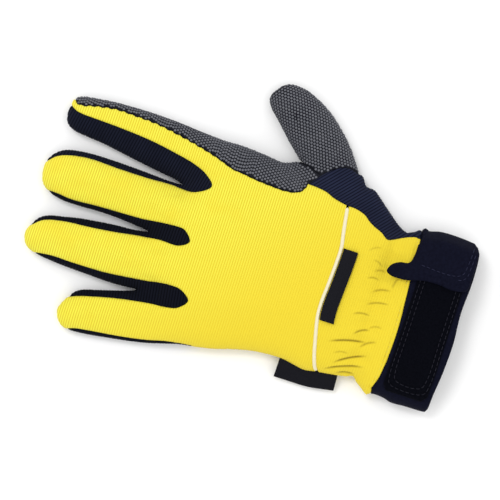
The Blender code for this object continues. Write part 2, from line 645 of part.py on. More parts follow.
def make_seams():
    """Every seam on the upper face, from named point to named point."""
    seams = {}
    seams["strip"] = seam(faceted([mark("strip_root")] + finger_controls(LITTLE, LITTLE.little_seam)
                                  + [mark("strip_tip")]))
    webs = (("little_ring", LITTLE, RING, "little_thumb", "ring_little", (-0.212, 0.426), (-0.100, -0.462)),
            ("ring_middle", RING, MIDDLE, "ring_thumb", "middle_little", (-0.018, 0.571), (-0.007, -0.474)),
            ("middle_index", MIDDLE, INDEX, "middle_thumb", "index_little", (-0.028, 0.625), (-0.039, -0.389)))
    for name, first, second, start, end, first_foot, second_foot in webs:
        controls = [mark(start)] + finger_controls(first, first.thumb_seam)
        controls.append(between(first, first_foot, second, second_foot))
        controls += finger_controls(second, second.little_seam) + [mark(end)]
        seams[name] = seam(faceted(controls))
    top = hand_point(*GUSSET_TOP)
    end = hand_point(*PIPING_END)
    foot = hand_point(*THUMB_WEB_FOOT)
    seams["palm"] = seam(faceted([mark("index_thumb")] + finger_controls(INDEX, INDEX.thumb_seam)
                                 + hand_controls(PALM_SEAM) + [top]))
    seams["gusset"] = seam(faceted([top] + hand_controls(GUSSET_SEAM) + [end]))
    seams["wrist"] = seam(faceted([end] + hand_controls(WRIST_SEAM) + [hand_point(*HEM_GUSSET_END)]))
    seams["thumb_base"] = seam(faceted([mark("gusset_thumb")] + hand_controls(THUMB_BASE_SEAM) + [foot]))
    seams["palm_foot"] = seam(foot, top)
    seams["thumb_web"] = seam(faceted([foot] + hand_controls(THUMB_WEB_SEAM) + [mark("thumb_web")]))
    piping = faceted([mark("piping_little")] + hand_controls(PIPING_LINE) + [end])
    seams["piping"] = Chain(piping, PIPING_RADIUS + GAP, False)
    across = [hand_point(*HEM_GUSSET_END)] + hand_controls(HEM_LINE[::-1]) + [under_mark("hem_little")]
    seams["hem"] = seam(np.vstack([faceted(across), mark("hem_little")]))
    seams["hem_gusset"] = seam(mark("hem_thumb"), under_mark("hem_thumb"), hand_point(*HEM_GUSSET_END))
    return seams


def knit_panels(seams, yellow, black):
    """The yellow and black knit panels."""
    back = [reverse(seams["piping"]), rim("piping_little", "strip_root"), seams["strip"],
            rim("strip_tip", "little_thumb"), seams["little_ring"], rim("ring_little", "ring_thumb"),
            seams["ring_middle"], rim("middle_little", "middle_thumb"), seams["middle_index"],
            rim("index_little", "index_thumb"), seams["palm"], seams["gusset"]]
    panel("back_panel", back, yellow)
    wrist = [seams["piping"], seams["wrist"], seams["hem"], rim("hem_little", "piping_little")]
    panel("wrist_panel", wrist, yellow, spacing=WRIST_SPACING)
    panel("little_side_strip", [rim("strip_root", "strip_tip"), reverse(seams["strip"])], black)
    panel("fourchette_little_ring", [rim("little_thumb", "ring_little"), reverse(seams["little_ring"])], black)
    panel("fourchette_ring_middle", [rim("ring_thumb", "middle_little"), reverse(seams["ring_middle"])], black)
    panel("fourchette_middle_index", [rim("middle_thumb", "index_little"), reverse(seams["middle_index"])],
          black)
    gusset = [rim("gusset_thumb", "hem_thumb"), seams["hem_gusset"], reverse(seams["wrist"]),
              reverse(seams["gusset"]), reverse(seams["palm_foot"]), reverse(seams["thumb_base"])]
    panel("wrist_gusset", gusset, black)


def panel(name, chains, material, spacing=UPPER_SPACING, thickness=KNIT_THICKNESS):
    """A panel of the upper face whose edges on the rim tuck under as far as the palm's seam."""
    loop, on_rim = drawn_in(chains)
    sheets = [upper_sheet(loop, spacing)] + [tuck(part) for part in on_rim]
    cloth(name, sheets, material, inner=-thickness)


def plated_panels(seams, grey):
    """The grey palm, with the strip that it turns up beside the index finger, and the thumb's back."""
    thumb = [rim("thumb_web", "gusset_thumb"), seams["thumb_base"], seams["thumb_web"]]
    panel("thumb_back", thumb, grey, thickness=PALM_THICKNESS)
    strip = [rim("index_thumb", "thumb_web"), reverse(seams["thumb_web"]), seams["palm_foot"],
             reverse(seams["palm"])]
    loop, on_rim = drawn_in(strip)
    turned_up = on_rim[0]
    seam_depth = SEAM_TUCK + GAP
    before = inset(rim_part("hem_little", "index_thumb")[:-1], seam_depth)
    after = inset(rim_part("thumb_web", "hem_thumb")[1:], seam_depth)
    turn_in = inset(turned_up, seam_depth)
    hem = np.vstack([seams["hem_gusset"].points[2:], seams["hem"].points[1:-2]]) + [0, GAP]
    before[0] += [0, GAP]
    after[-1] += [0, GAP]
    under = np.vstack([before, turn_in[:1], turned_up, turn_in[-1:], after, hem])
    cloth("palm_panel", [upper_sheet(loop), lower_sheet(under, UNDER_ROWS + PALM_ROWS)], grey,
          inner=-PALM_THICKNESS)


def cuff_pieces(seams, neoprene, loops):
    """The cuff band, the loop patch on its back and the strap that closes over it."""
    hem = np.vstack([seams["hem_gusset"].points[:-1], seams["hem"].points])
    end = faceted([mark("cuff_end_little")] + [cuff_point(*row) for row in CUFF_END_LINE]
                  + [mark("cuff_end_thumb")])
    band = [Chain(hem[::-1], LAYER_GAP, False), rim("hem_thumb", "cuff_end_thumb"),
            Chain(end[::-1], 0.0, False), rim("cuff_end_little", "hem_little")]
    loop, _ = drawn_in(band)
    cloth("cuff_band", [upper_sheet(loop), lower_sheet(loop)], neoprene, inner=-CUFF_THICKNESS)

    patch = [cuff_point(PATCH_START, down) + np.array([out * PATCH_LENGTH, 0]) for out, down in PATCH_ROWS]
    patch = drawn_in([Chain(subdivided(patch), 0.0, False)])[0]
    cloth("loop_patch", [upper_sheet(patch)], loops, outer=LAYER_GAP + PATCH_THICKNESS, inner=LAYER_GAP)

    strap_end = mark("cuff_end_thumb")[0] - STRAP_LENGTH
    free = [strap_point(strap_end, *row) for row in STRAP_FREE_EDGE]
    tab = [tab_point(strap_end, *row) for row in TAB_EDGE]
    side = rim_part("hem_thumb", "strap_corner")
    top = side[0] - np.array([STRAP_SHOULDER, 0])
    corner = [cuff_point(*row) for row in STRAP_CORNER]
    edge = faceted([side[-1]] + corner + free + tab + [top, side[0]])
    loop, on_rim = drawn_in([Chain(side, 0.0, True), Chain(edge, 0.0, False)])
    under = lower_sheet(np.vstack([on_rim[0], inset(on_rim[0], STRAP_UNDER)[::-1]]), rows=())
    over_patch = PATCH_THICKNESS + LAYER_GAP

    def underside(plan):
        return LAYER_GAP + over_patch * smooth(nearest(plan, RIM), STRAP_UNDER, FACET)

    def curl(plan):
        past = (plan[:, 1] - cuff_point(0, 0)[1]) / TAB_LENGTH
        narrow = 1 - smooth(plan[:, 0], strap_end + 0.30 * STRAP_LENGTH, strap_end + 0.45 * STRAP_LENGTH)
        return TAB_CURL * np.clip(past, 0, 1.2) ** 2 * narrow

    cloth("closure_strap", [upper_sheet(loop), under], neoprene,
          outer=lambda plan: underside(plan) + STRAP_THICKNESS, inner=underside, lift=curl)


def strap_point(strap_end, out, down):
    """A point of the strap's free end."""
    return np.array([strap_end + out * STRAP_LENGTH, cuff_point(0, down)[1]])


def tab_point(strap_end, out, up):
    """A point of the pull tab, above the cuff's upper edge."""
    return np.array([strap_end + out * STRAP_LENGTH, cuff_point(0, 0)[1] + up * TAB_LENGTH])


def subdivided(corners):
    """A closed loop of corners with points a facet apart along its edges."""
    points = []
    for first, second in zip(corners, corners[1:] + corners[:1]):
        count = max(1, round(np.linalg.norm(second - first) / FACET))
        points += [first + (second - first) * step / count for step in range(count)]
    return np.vstack(points + [corners[0]])


def trim(seams, cream, black):
    """The piping and the two labels."""
    line = seams["piping"].points
    start = line[0] + (line[1] - line[0]) * 0.3
    stop = line[-1] + (line[-2] - line[-1]) * (PIPING_RADIUS + GAP) / np.linalg.norm(line[-2] - line[-1])
    route, directions = upper_face(np.vstack([[start], line[1:-1], [stop]]))
    route = route - directions * 0.2 * PIPING_RADIUS
    curve = bpy.data.curves.new("piping", "CURVE")
    curve.dimensions = "3D"
    curve.bevel_depth = PIPING_RADIUS
    curve.bevel_resolution = 1
    curve.use_fill_caps = True
    spline = curve.splines.new("POLY")
    spline.points.add(len(route) - 1)
    for point, spot in zip(spline.points, route):
        point.co = (*spot, 1)
    glove_object("piping", curve, cream)

    centre = hand_point(0.003, 0)[0]
    below = PIPING_RADIUS + GAP
    count = round(SIZE_LABEL_LENGTH / FACET)
    across = centre + (np.arange(count + 1) / count - 0.5) * SIZE_LABEL_LENGTH
    height = np.interp(across, line[:, 0], line[:, 1]) - below - 0.3 * GAP
    corners = np.vstack([np.column_stack([across, height]),
                         np.column_stack([across, height - SIZE_LABEL_WIDTH])[::-1]])
    cloth("size_label", [upper_sheet(corners)], black, outer=LAYER_GAP + LABEL_THICKNESS, inner=LAYER_GAP)

    low = hand_point(0, 0.616)[1] - SIDE_LABEL_LENGTH
    side = rim_part("hem_little", "strip_root")
    heights = np.linspace(low, low + SIDE_LABEL_LENGTH, LABEL_ROWS)
    inner_x = np.interp(heights, side[:, 1], side[:, 0]) - 2 * GAP
    outer_x = inner_x.mean() - SIDE_LABEL_REACH
    level = HAND_DEPTH * EDGE_SHARE
    spots = []
    for height, x in zip(heights, inner_x):
        for step in range(LABEL_COLUMNS):
            share = step / (LABEL_COLUMNS - 1)
            spots.append((x + (outer_x - x) * share, height, level * (1 - SIDE_LABEL_DROP * share**1.5)))
    corners = [row * LABEL_COLUMNS + step for row in range(LABEL_ROWS - 1) for step in range(LABEL_COLUMNS - 1)]
    faces = [(corner, corner + 1, corner + LABEL_COLUMNS + 1, corner + LABEL_COLUMNS) for corner in corners]
    mesh = bpy.data.meshes.new("side_label")
    mesh.from_pydata(spots, [], faces)
    label = glove_object("side_label", mesh, black)
    solid = label.modifiers.new("Thickness", "SOLIDIFY")
    solid.thickness = LABEL_THICKNESS
    solid.offset = 0


def material(name, colour, roughness):
    """A plain cloth material."""
    item = bpy.data.materials.new(name)
    item.use_nodes = True
    shader = item.node_tree.nodes["Principled BSDF"]
    shader.inputs["Base Color"].default_value = (*colour, 1)
    shader.inputs["Roughness"].default_value = roughness
    shader.inputs["Metallic"].default_value = 0
    return item


def centre_on_origin():
    """Move the finished glove so that its box is centred on the origin."""
    shapes = bpy.context.evaluated_depsgraph_get()
    points = []
    for item in COLLECTION.objects:
        shape = item.evaluated_get(shapes)
        points += [vertex.co[:] for vertex in shape.to_mesh().vertices]
        shape.to_mesh_clear()
    centre = (np.min(points, axis=0) + np.max(points, axis=0)) / 2
    holder = bpy.data.objects.new("glove", None)
    COLLECTION.objects.link(holder)
    holder.location = (-centre[0], -centre[1], 0)
    for item in COLLECTION.objects:
        if item is not holder:
            item.parent = holder


for old in list(bpy.data.objects):
    bpy.data.objects.remove(old)
COLLECTION = bpy.data.collections.new("fishing_glove")
bpy.context.scene.collection.children.link(COLLECTION)
YELLOW = material("yellow_knit", (0.85, 0.72, 0.03), 0.9)
BLACK = material("black_knit", (0.012, 0.013, 0.022), 0.9)
GREY = material("plated_fabric", (0.12, 0.12, 0.13), 0.7)
NEOPRENE = material("neoprene", (0.010, 0.011, 0.018), 0.8)
LOOPS = material("loop_fabric", (0.010, 0.010, 0.012), 0.95)
LABEL = material("woven_label", (0.015, 0.015, 0.017), 0.6)
CREAM = material("piping", (0.95, 0.92, 0.72), 0.6)
SEAMS = make_seams()
knit_panels(SEAMS, YELLOW, BLACK)
plated_panels(SEAMS, GREY)
cuff_pieces(SEAMS, NEOPRENE, LOOPS)
trim(SEAMS, CREAM, LABEL)
centre_on_origin()
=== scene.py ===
import math
from collections import namedtuple

import bpy
import numpy as np
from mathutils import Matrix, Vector
from mathutils.geometry import delaunay_2d_cdt
from mathutils.kdtree import KDTree


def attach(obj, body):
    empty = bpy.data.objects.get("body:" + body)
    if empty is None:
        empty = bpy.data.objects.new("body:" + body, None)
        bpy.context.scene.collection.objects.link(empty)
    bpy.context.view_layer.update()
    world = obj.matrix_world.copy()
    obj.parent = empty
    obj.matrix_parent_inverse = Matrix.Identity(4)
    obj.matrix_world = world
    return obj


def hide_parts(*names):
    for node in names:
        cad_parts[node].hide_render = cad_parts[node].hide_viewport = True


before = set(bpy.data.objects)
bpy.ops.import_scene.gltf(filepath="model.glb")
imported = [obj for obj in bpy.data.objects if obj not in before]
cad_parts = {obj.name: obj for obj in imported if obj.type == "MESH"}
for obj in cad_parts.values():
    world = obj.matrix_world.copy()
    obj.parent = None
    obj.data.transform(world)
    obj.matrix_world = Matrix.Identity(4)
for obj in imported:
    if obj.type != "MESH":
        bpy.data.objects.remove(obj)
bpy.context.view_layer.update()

# Lengths are in metres. The hand's own frame has its origin on the knuckle line.
# PLACE moves it to the frame of the parts.
PLACE = np.array([-0.0144465, 0.0314168, 0.0])

# Camera and light
VIEW_CENTRE = (-0.01037, -0.00057)
VIEW_TURN = math.radians(-72.0)
VIEW_HEIGHT = 1.0
VIEW_WIDTH = 0.265
FOCUS_LEVEL = 0.008
SENSOR = 36.0

# Hand
PALM_WIDTH = 0.106
PALM_LENGTH = 0.105
HAND_DEPTH = 0.0175
HAND_CROWN = 0.0025
HAND_EDGE = 0.018
WRIST_DEPTH = 0.0160
WRIST_EDGE = 0.0145

# Fingers
LITTLE_LENGTH = 0.0568
LITTLE_WIDTH = 25 / 106 * PALM_WIDTH
LITTLE_LEAN = math.radians(-13.1)
RING_LENGTH = 0.0846
RING_WIDTH = 29.5 / 106 * PALM_WIDTH
RING_LEAN = math.radians(-3.4)
MIDDLE_LENGTH = 0.0860
MIDDLE_WIDTH = 28.5 / 106 * PALM_WIDTH
MIDDLE_LEAN = math.radians(0.3)
INDEX_LENGTH = 0.0828
INDEX_WIDTH = 26 / 106 * PALM_WIDTH
INDEX_LEAN = math.radians(3.9)
THUMB_LENGTH = 0.0552
THUMB_WIDTH = 28 / 106 * PALM_WIDTH
THUMB_LEAN = math.radians(35.4)
FINGER_SPREAD = 1 / 106 * PALM_WIDTH
FINGER_DEPTH = 0.46
KNUCKLE_BLEND = 0.026
WEB_SHARE = 0.27
FINGER_EDGE = 0.45

# Cuff, strap and trim
CUFF_WIDTH = 92 / 106 * PALM_WIDTH
CUFF_LENGTH = 0.0318
CUFF_DEPTH = 0.0190
STRAP_LENGTH = 0.0240
TAB_LENGTH = 0.0130
TAB_CURL = 0.0060
PATCH_LENGTH = 0.0740
SIZE_LABEL_LENGTH = 0.0395
SIZE_LABEL_WIDTH = 0.0078
SIDE_LABEL_LENGTH = 0.0315
SIDE_LABEL_REACH = 0.0095
PIPING_RADIUS = 0.0010
GATHER_DEPTH = 0.0009
GATHER_PITCH = 0.0092
ELASTIC_DEPTH = 0.0014
STRAP_UNDER = 0.0012
STRAP_SHOULDER = 0.0020
SIDE_LABEL_DROP = 0.55

# Cloth
KNIT_THICKNESS = 0.0012
PALM_THICKNESS = 0.0015
CUFF_THICKNESS = 0.0022
STRAP_THICKNESS = 0.0020
PATCH_THICKNESS = 0.0008
LABEL_THICKNESS = 0.0006
GAP = 0.0003
LAYER_GAP = 0.0005
SEAM_TUCK = 0.0032
EDGE_SHARE = 0.38
UNDER_EDGE_SHARE = 0.45

# Fineness of the meshes
FINE = 0.0006
HEX_ROW = math.sqrt(3) / 2
CLEARANCE = 0.00016
EDGE_ROWS = (0.00012, 0.0004, 0.0009)
STRAIGHT_CORNER = 0.12
MITRE_LIMIT = 4
RIB_SAMPLES = 4

# Cloth surfaces
YELLOW_RIB = 0.0013
BLACK_RIB = 0.0015
YELLOW_RIB_DEPTH = 0.00022
BLACK_RIB_DEPTH = 0.00034
SEAM_ROLL = 0.0013
SEAM_SINK = 0.0008
PANEL_GAP = 0.00012
PLATE_ROW = 0.0014
PLATE_STEP = 0.0019
PLATE_RADIUS = 0.00072
PLATE_HEIGHT = 0.00024

# Where the form changes down the hand, as shares of the palm's length below the knuckles
WRIST_RAMP = (0.55, 0.98)
CUFF_RAMP = (1.02, 1.15)
GATHER_RAMP = (0.84, 0.97)
GATHER_END = (1.02, 1.08)
ELASTIC_LINE = 0.985
ELASTIC_SPREAD = 0.035
PLEAT_FAN = 0.25

Finger = namedtuple("Finger", "length width lean base little_edge thumb_edge little_seam thumb_seam")
Chain = namedtuple("Chain", "points move on_rim")
Sheet = namedtuple("Sheet", "loop under seams")
Weave = namedtuple("Weave", "angle row spacing")
Stitch = namedtuple("Stitch", "length pause radius")


def hand_point(out, down):
    """A point of the hand: shares of the palm's width outwards and of its length below the knuckles."""
    return np.array([out * PALM_WIDTH, -down * PALM_LENGTH])


def finger_point(finger, along, across):
    """A point of a finger: along and across are shares of its length and width, across plus to the thumb."""
    tipwards = np.array([math.sin(finger.lean), math.cos(finger.lean)])
    sideways = np.array([math.cos(finger.lean), -math.sin(finger.lean)])
    return finger.base + tipwards * along * finger.length + sideways * across * finger.width


def between(first, first_share, second, second_share):
    """The point midway between two neighbouring fingers' own points."""
    return (finger_point(first, *first_share) + finger_point(second, *second_share)) / 2


def smooth(value, low, high):
    """A ramp from 0 at low to 1 at high with level ends."""
    share = np.clip((value - low) / (high - low), 0, 1)
    return share * share * (3 - 2 * share)


# Where each finger starts on the knuckle line, worked out from the ring finger and the fingers' widths
RING_BASE = hand_point(-0.172, 0)
LITTLE_BASE = RING_BASE - np.array([(LITTLE_WIDTH + RING_WIDTH) / 2 - FINGER_SPREAD, 0])
MIDDLE_BASE = RING_BASE + np.array([(RING_WIDTH + MIDDLE_WIDTH) / 2 + FINGER_SPREAD, 0])
INDEX_BASE = MIDDLE_BASE + np.array([(MIDDLE_WIDTH + INDEX_WIDTH) / 2 + FINGER_SPREAD, 0])
THUMB_BASE = hand_point(0.547, 0.610)

# Each finger's outline and seams, in columns along and across. Edges run from the root to the tip on the
# little finger's side and back from the tip on the thumb's side.
LITTLE = Finger(
    LITTLE_LENGTH, LITTLE_WIDTH, LITTLE_LEAN, LITTLE_BASE,
    little_edge=[(-0.13, -0.53), (0.15, -0.56), (0.33, -0.55), (0.51, -0.525), (0.68, -0.49), (0.84, -0.44),
                 (0.90, -0.41), (0.96, -0.34), (1.00, -0.20), (1.01, 0.00), (0.97, 0.16)],
    thumb_edge=[(0.91, 0.305), (0.85, 0.42), (0.78, 0.47), (0.65, 0.485), (0.49, 0.50), (0.38, 0.52)],
    little_seam=[(-0.04, -0.495), (0.14, -0.505), (0.32, -0.49), (0.50, -0.458), (0.675, -0.41),
                 (0.82, -0.385)],
    thumb_seam=[(0.81, 0.34), (0.66, 0.355), (0.50, 0.355), (0.33, 0.34), (0.15, 0.30), (-0.03, 0.25),
                (-0.12, 0.265)])
RING = Finger(
    RING_LENGTH, RING_WIDTH, RING_LEAN, RING_BASE,
    little_edge=[(0.30, -0.517), (0.43, -0.508), (0.54, -0.485), (0.66, -0.452), (0.80, -0.40),
                 (0.91, -0.341), (0.965, -0.27), (0.995, -0.16), (1.003, 0.00)],
    thumb_edge=[(0.982, 0.15), (0.938, 0.309), (0.886, 0.385), (0.784, 0.435), (0.70, 0.475), (0.58, 0.503),
                (0.46, 0.52), (0.345, 0.524)],
    little_seam=[(-0.04, -0.305), (0.02, -0.275), (0.10, -0.282), (0.20, -0.323), (0.32, -0.347),
                 (0.48, -0.363), (0.66, -0.345), (0.80, -0.315)],
    thumb_seam=[(0.905, 0.296), (0.774, 0.366), (0.62, 0.377), (0.465, 0.402), (0.31, 0.45), (0.17, 0.46),
                (0.04, 0.448)])
MIDDLE = Finger(
    MIDDLE_LENGTH, MIDDLE_WIDTH, MIDDLE_LEAN, MIDDLE_BASE,
    little_edge=[(0.35, -0.50), (0.46, -0.475), (0.58, -0.473), (0.70, -0.486), (0.81, -0.484),
                 (0.88, -0.451), (0.925, -0.402), (0.967, -0.312), (0.992, -0.165)],
    thumb_edge=[(0.996, 0.126), (0.971, 0.274), (0.934, 0.387), (0.885, 0.458), (0.79, 0.505), (0.64, 0.526),
                (0.47, 0.518), (0.33, 0.503), (0.24, 0.494)],
    little_seam=[(0.045, -0.292), (0.09, -0.275), (0.185, -0.298), (0.30, -0.349), (0.46, -0.377),
                 (0.63, -0.404), (0.77, -0.43), (0.86, -0.405)],
    thumb_seam=[(0.946, 0.27), (0.873, 0.365), (0.733, 0.429), (0.56, 0.418), (0.37, 0.422), (0.21, 0.452),
                (0.07, 0.427)])
INDEX = Finger(
    INDEX_LENGTH, INDEX_WIDTH, INDEX_LEAN, INDEX_BASE,
    little_edge=[(0.23, -0.525), (0.35, -0.502), (0.47, -0.47), (0.60, -0.432), (0.72, -0.401),
                 (0.84, -0.389), (0.924, -0.365), (0.975, -0.28), (0.998, -0.115)],
    thumb_edge=[(1.00, 0.089), (0.993, 0.244), (0.952, 0.342), (0.845, 0.427), (0.71, 0.50), (0.50, 0.566),
                (0.33, 0.587), (0.16, 0.582), (-0.01, 0.589)],
    little_seam=[(0.02, -0.216), (0.12, -0.103), (0.27, -0.031), (0.44, 0.016), (0.63, 0.023), (0.79, 0.008),
                 (0.90, 0.00), (0.95, 0.02)],
    thumb_seam=[(0.948, 0.166), (0.83, 0.269), (0.71, 0.361), (0.565, 0.381), (0.42, 0.386), (0.26, 0.34),
                (0.14, 0.282), (0.00, 0.20), (-0.13, 0.094)])
THUMB = Finger(
    THUMB_LENGTH, THUMB_WIDTH, THUMB_LEAN, THUMB_BASE,
    little_edge=[(0.31, -0.465), (0.36, -0.452), (0.52, -0.417), (0.64, -0.375), (0.77, -0.333),
                 (0.875, -0.306), (0.946, -0.253), (0.986, -0.156)],
    thumb_edge=[(0.994, 0.008), (0.987, 0.162), (0.947, 0.285), (0.825, 0.439), (0.676, 0.52), (0.51, 0.554),
                (0.31, 0.531), (0.11, 0.455), (-0.04, 0.357)],
    little_seam=[],
    thumb_seam=[])
FINGERS = (LITTLE, RING, MIDDLE, INDEX, THUMB)

# The hand's own edges and seams, in columns out and down
LITTLE_SIDE = [(-0.511, 0.170), (-0.489, 0.284), (-0.463, 0.375), (-0.437, 0.484), (-0.429, 0.614),
               (-0.449, 0.747), (-0.438, 0.816), (-0.425, 0.918), (-0.416, 0.967), (-0.405, 0.997),
               (-0.426, 1.019), (-0.445, 1.049), (-0.470, 1.090)]
THUMB_SIDE = [(0.524, 0.095), (0.517, 0.222), (0.509, 0.330), (0.528, 0.378)]
GUSSET_SIDE = [(0.562, 0.735), (0.522, 0.765), (0.516, 0.812), (0.490, 0.850), (0.434, 0.921),
               (0.380, 0.993), (0.365, 1.035), (0.383, 1.070), (0.395, 1.088)]
PALM_SEAM = [(0.390, 0.146), (0.380, 0.222), (0.3745, 0.305), (0.371, 0.367), (0.378, 0.426), (0.396, 0.459),
             (0.415, 0.471)]
GUSSET_TOP = (0.440, 0.480)
GUSSET_SEAM = [(0.437, 0.527), (0.429, 0.578), (0.412, 0.622), (0.402, 0.667)]
PIPING_END = (0.397, 0.701)
WRIST_SEAM = [(0.396, 0.743), (0.380, 0.800), (0.358, 0.830), (0.340, 0.864), (0.323, 0.908), (0.300, 0.945),
              (0.310, 0.974), (0.331, 1.011), (0.350, 1.049), (0.357, 1.078)]
THUMB_BASE_SEAM = [(0.575, 0.690), (0.580, 0.655), (0.557, 0.593), (0.520, 0.549)]
THUMB_WEB_FOOT = (0.500, 0.530)
THUMB_WEB_SEAM = [(0.512, 0.495), (0.527, 0.450)]
PIPING_LINE = [(-0.416, 0.796), (-0.364, 0.775), (-0.291, 0.755), (-0.173, 0.728), (-0.107, 0.724),
               (0.004, 0.730), (0.114, 0.735), (0.188, 0.735), (0.261, 0.722), (0.335, 0.710)]
HEM_LINE = [(-0.364, 1.116), (-0.220, 1.127), (-0.110, 1.129), (0.040, 1.120), (0.150, 1.112)]
HEM_LITTLE_END = (-0.458, 1.110)
HEM_GUSSET_END = (0.354, 1.105)
HEM_THUMB_END = (0.396, 1.103)

# The cuff, in columns across (share of its width from its centre) and down (share of its length)
CUFF_CENTRE = -0.030
CUFF_LITTLE_SIDE = [(-0.493, 0.22), (-0.506, 0.36), (-0.503, 0.60), (-0.500, 0.93)]
CUFF_THUMB_SIDE = [(0.475, 0.08), (0.492, 0.30), (0.494, 0.60), (0.486, 0.90)]
CUFF_END_LINE = [(-0.40, 0.965), (-0.24, 0.995), (-0.08, 1.010), (0.10, 0.975), (0.30, 1.000)]
CUFF_TAIL = 1.9

# The loop patch, the strap's free end and its pull tab, in columns out (share of the piece's length from its
# own end) and down (share of the cuff's length), or up for the tab (share of the tab's length)
PATCH_START = -0.440
PATCH_ROWS = [(0.00, 0.20), (0.00, 0.80), (0.04, 0.88), (1.00, 0.88), (1.00, 0.12), (0.04, 0.12)]
STRAP_CORNER = [(0.470, 0.950), (0.440, 0.965), (0.320, 0.965)]
STRAP_FREE_EDGE = [(0.13, 0.96), (0.03, 0.91), (-0.03, 0.70), (0.00, 0.45), (-0.02, 0.22)]
TAB_EDGE = [(-0.115, 0.10), (-0.135, 0.45), (-0.125, 0.80), (-0.055, 1.02), (0.10, 0.92), (0.215, 0.60),
            (0.275, 0.22)]


def cuff_point(across, down):
    """A point of the cuff, from the hem line down."""
    hem = hand_point(CUFF_CENTRE, 1.108)
    return hem + np.array([across * CUFF_WIDTH, -down * CUFF_LENGTH])


def smooth_curve(controls):
    """Fine points of a smooth curve through controls, and where each control is among them."""
    controls = np.array(controls, dtype=float)
    lengths = np.linalg.norm(np.diff(controls, axis=0), axis=1)
    steps = np.sqrt(lengths)[:, None]
    slopes = np.diff(controls, axis=0) / steps
    middle = (slopes[:-1] * steps[1:] + slopes[1:] * steps[:-1]) / (steps[1:] + steps[:-1])
    tangents = np.vstack([slopes[:1], middle, slopes[-1:]])
    points = []
    places = [0]
    for index, length in enumerate(lengths):
        count = max(2, math.ceil(length / FINE))
        t = (np.arange(count) / count)[:, None]
        start = controls[index] * (2 * t**3 - 3 * t**2 + 1) + controls[index + 1] * (3 * t**2 - 2 * t**3)
        pull = tangents[index] * (t**3 - 2 * t**2 + t) + tangents[index + 1] * (t**3 - t**2)
        points.append(start + pull * steps[index])
        places.append(places[-1] + count)
    points.append(controls[-1:])
    return np.vstack(points), places


def faceted(controls):
    """Fine points of a smooth curve through controls."""
    return smooth_curve(controls)[0]


def rim_controls():
    """The outline's control points from the cuff's end on the little finger's side to the thumb's side."""
    rows = [(None, cuff_point(-0.50, CUFF_TAIL)), (None, cuff_point(-0.50, 1.25))]
    rows += [(None, cuff_point(*row)) for row in reversed(CUFF_LITTLE_SIDE)]
    rows.insert(2, ("cuff_end_little", cuff_point(-0.497, 0.975)))
    rows.append(("hem_little", hand_point(*HEM_LITTLE_END)))
    side = [(None, hand_point(*row)) for row in reversed(LITTLE_SIDE)]
    side[6] = ("piping_little", side[6][1])
    side[-1] = ("strip_root", side[-1][1])
    rows += side
    rows += finger_rows(LITTLE, {6: "strip_tip"}, {0: "little_thumb"})
    rows.append((None, between(LITTLE, (0.287, 0.554), RING, (0.236, -0.517))))
    rows += finger_rows(RING, {5: "ring_little"}, {0: "ring_thumb"})
    rows.append((None, between(RING, (0.26, 0.564), MIDDLE, (0.266, -0.534))))
    rows += finger_rows(MIDDLE, {6: "middle_little"}, {0: "middle_thumb"})
    rows.append((None, between(MIDDLE, (0.158, 0.499), INDEX, (0.151, -0.565))))
    rows += finger_rows(INDEX, {}, {0: "index_little", 1: "index_thumb"})
    rows += [(None, hand_point(*row)) for row in THUMB_SIDE]
    rows += finger_rows(THUMB, {0: "thumb_web"}, {})
    rows.append(("gusset_thumb", finger_point(THUMB, -0.13, 0.30)))
    rows += [(None, hand_point(*row)) for row in GUSSET_SIDE]
    rows.append(("hem_thumb", hand_point(*HEM_THUMB_END)))
    rows += [(None, cuff_point(*row)) for row in CUFF_THUMB_SIDE]
    rows[-1] = ("strap_corner", rows[-1][1])
    rows.append(("cuff_end_thumb", cuff_point(0.482, 1.0)))
    rows += [(None, cuff_point(0.482, 1.25)), (None, cuff_point(0.482, CUFF_TAIL))]
    return rows


def finger_rows(finger, little_marks, thumb_marks):
    """A finger's outline controls, with the names of those where a seam meets the rim."""
    rows = []
    for edge, names in ((finger.little_edge, little_marks), (finger.thumb_edge, thumb_marks)):
        rows += [(names.get(number), finger_point(finger, *row)) for number, row in enumerate(edge)]
    return rows


class Line:
    """A line of the plan with a quick way to measure from it."""

    def __init__(self, points, normals=None):
        self.points = points
        self.normals = normals
        self.tree = KDTree(len(points))
        for number, (x, y) in enumerate(points):
            self.tree.insert((x, y, 0), number)
        self.tree.balance()

    def measure(self, points):
        """Each point's distance from the line, and the segment and share of it where the nearest spot is."""
        best = np.array([self.tree.find((x, y, 0))[1] for x, y in points], dtype=int)
        found = []
        for start in (best - 1, best):
            start = np.clip(start, 0, len(self.points) - 2)
            ahead = self.points[start + 1] - self.points[start]
            offset = points - self.points[start]
            share = np.clip((offset * ahead).sum(1) / np.maximum((ahead * ahead).sum(1), 1e-18), 0, 1)
            found.append((np.linalg.norm(offset - share[:, None] * ahead, axis=1), start, share))
        first = found[0][0] <= found[1][0]
        return [np.where(first, one, two) for one, two in zip(*found)]

    def outward(self, points):
        """Each point's distance from the line, and the line's own outward normal turned to the point."""
        distance, start, share = self.measure(points)
        share = share[:, None]
        own = self.normals[start] * (1 - share) + self.normals[start + 1] * share
        own /= np.linalg.norm(own, axis=1)[:, None]
        away = self.points[start] * (1 - share) + self.points[start + 1] * share - points
        away /= np.maximum(distance, 1e-9)[:, None]
        blend = smooth(distance, 0, 0.001)[:, None]
        turned = own * (1 - blend) + away * blend
        return distance, turned / np.maximum(np.linalg.norm(turned, axis=1), 1e-9)[:, None]


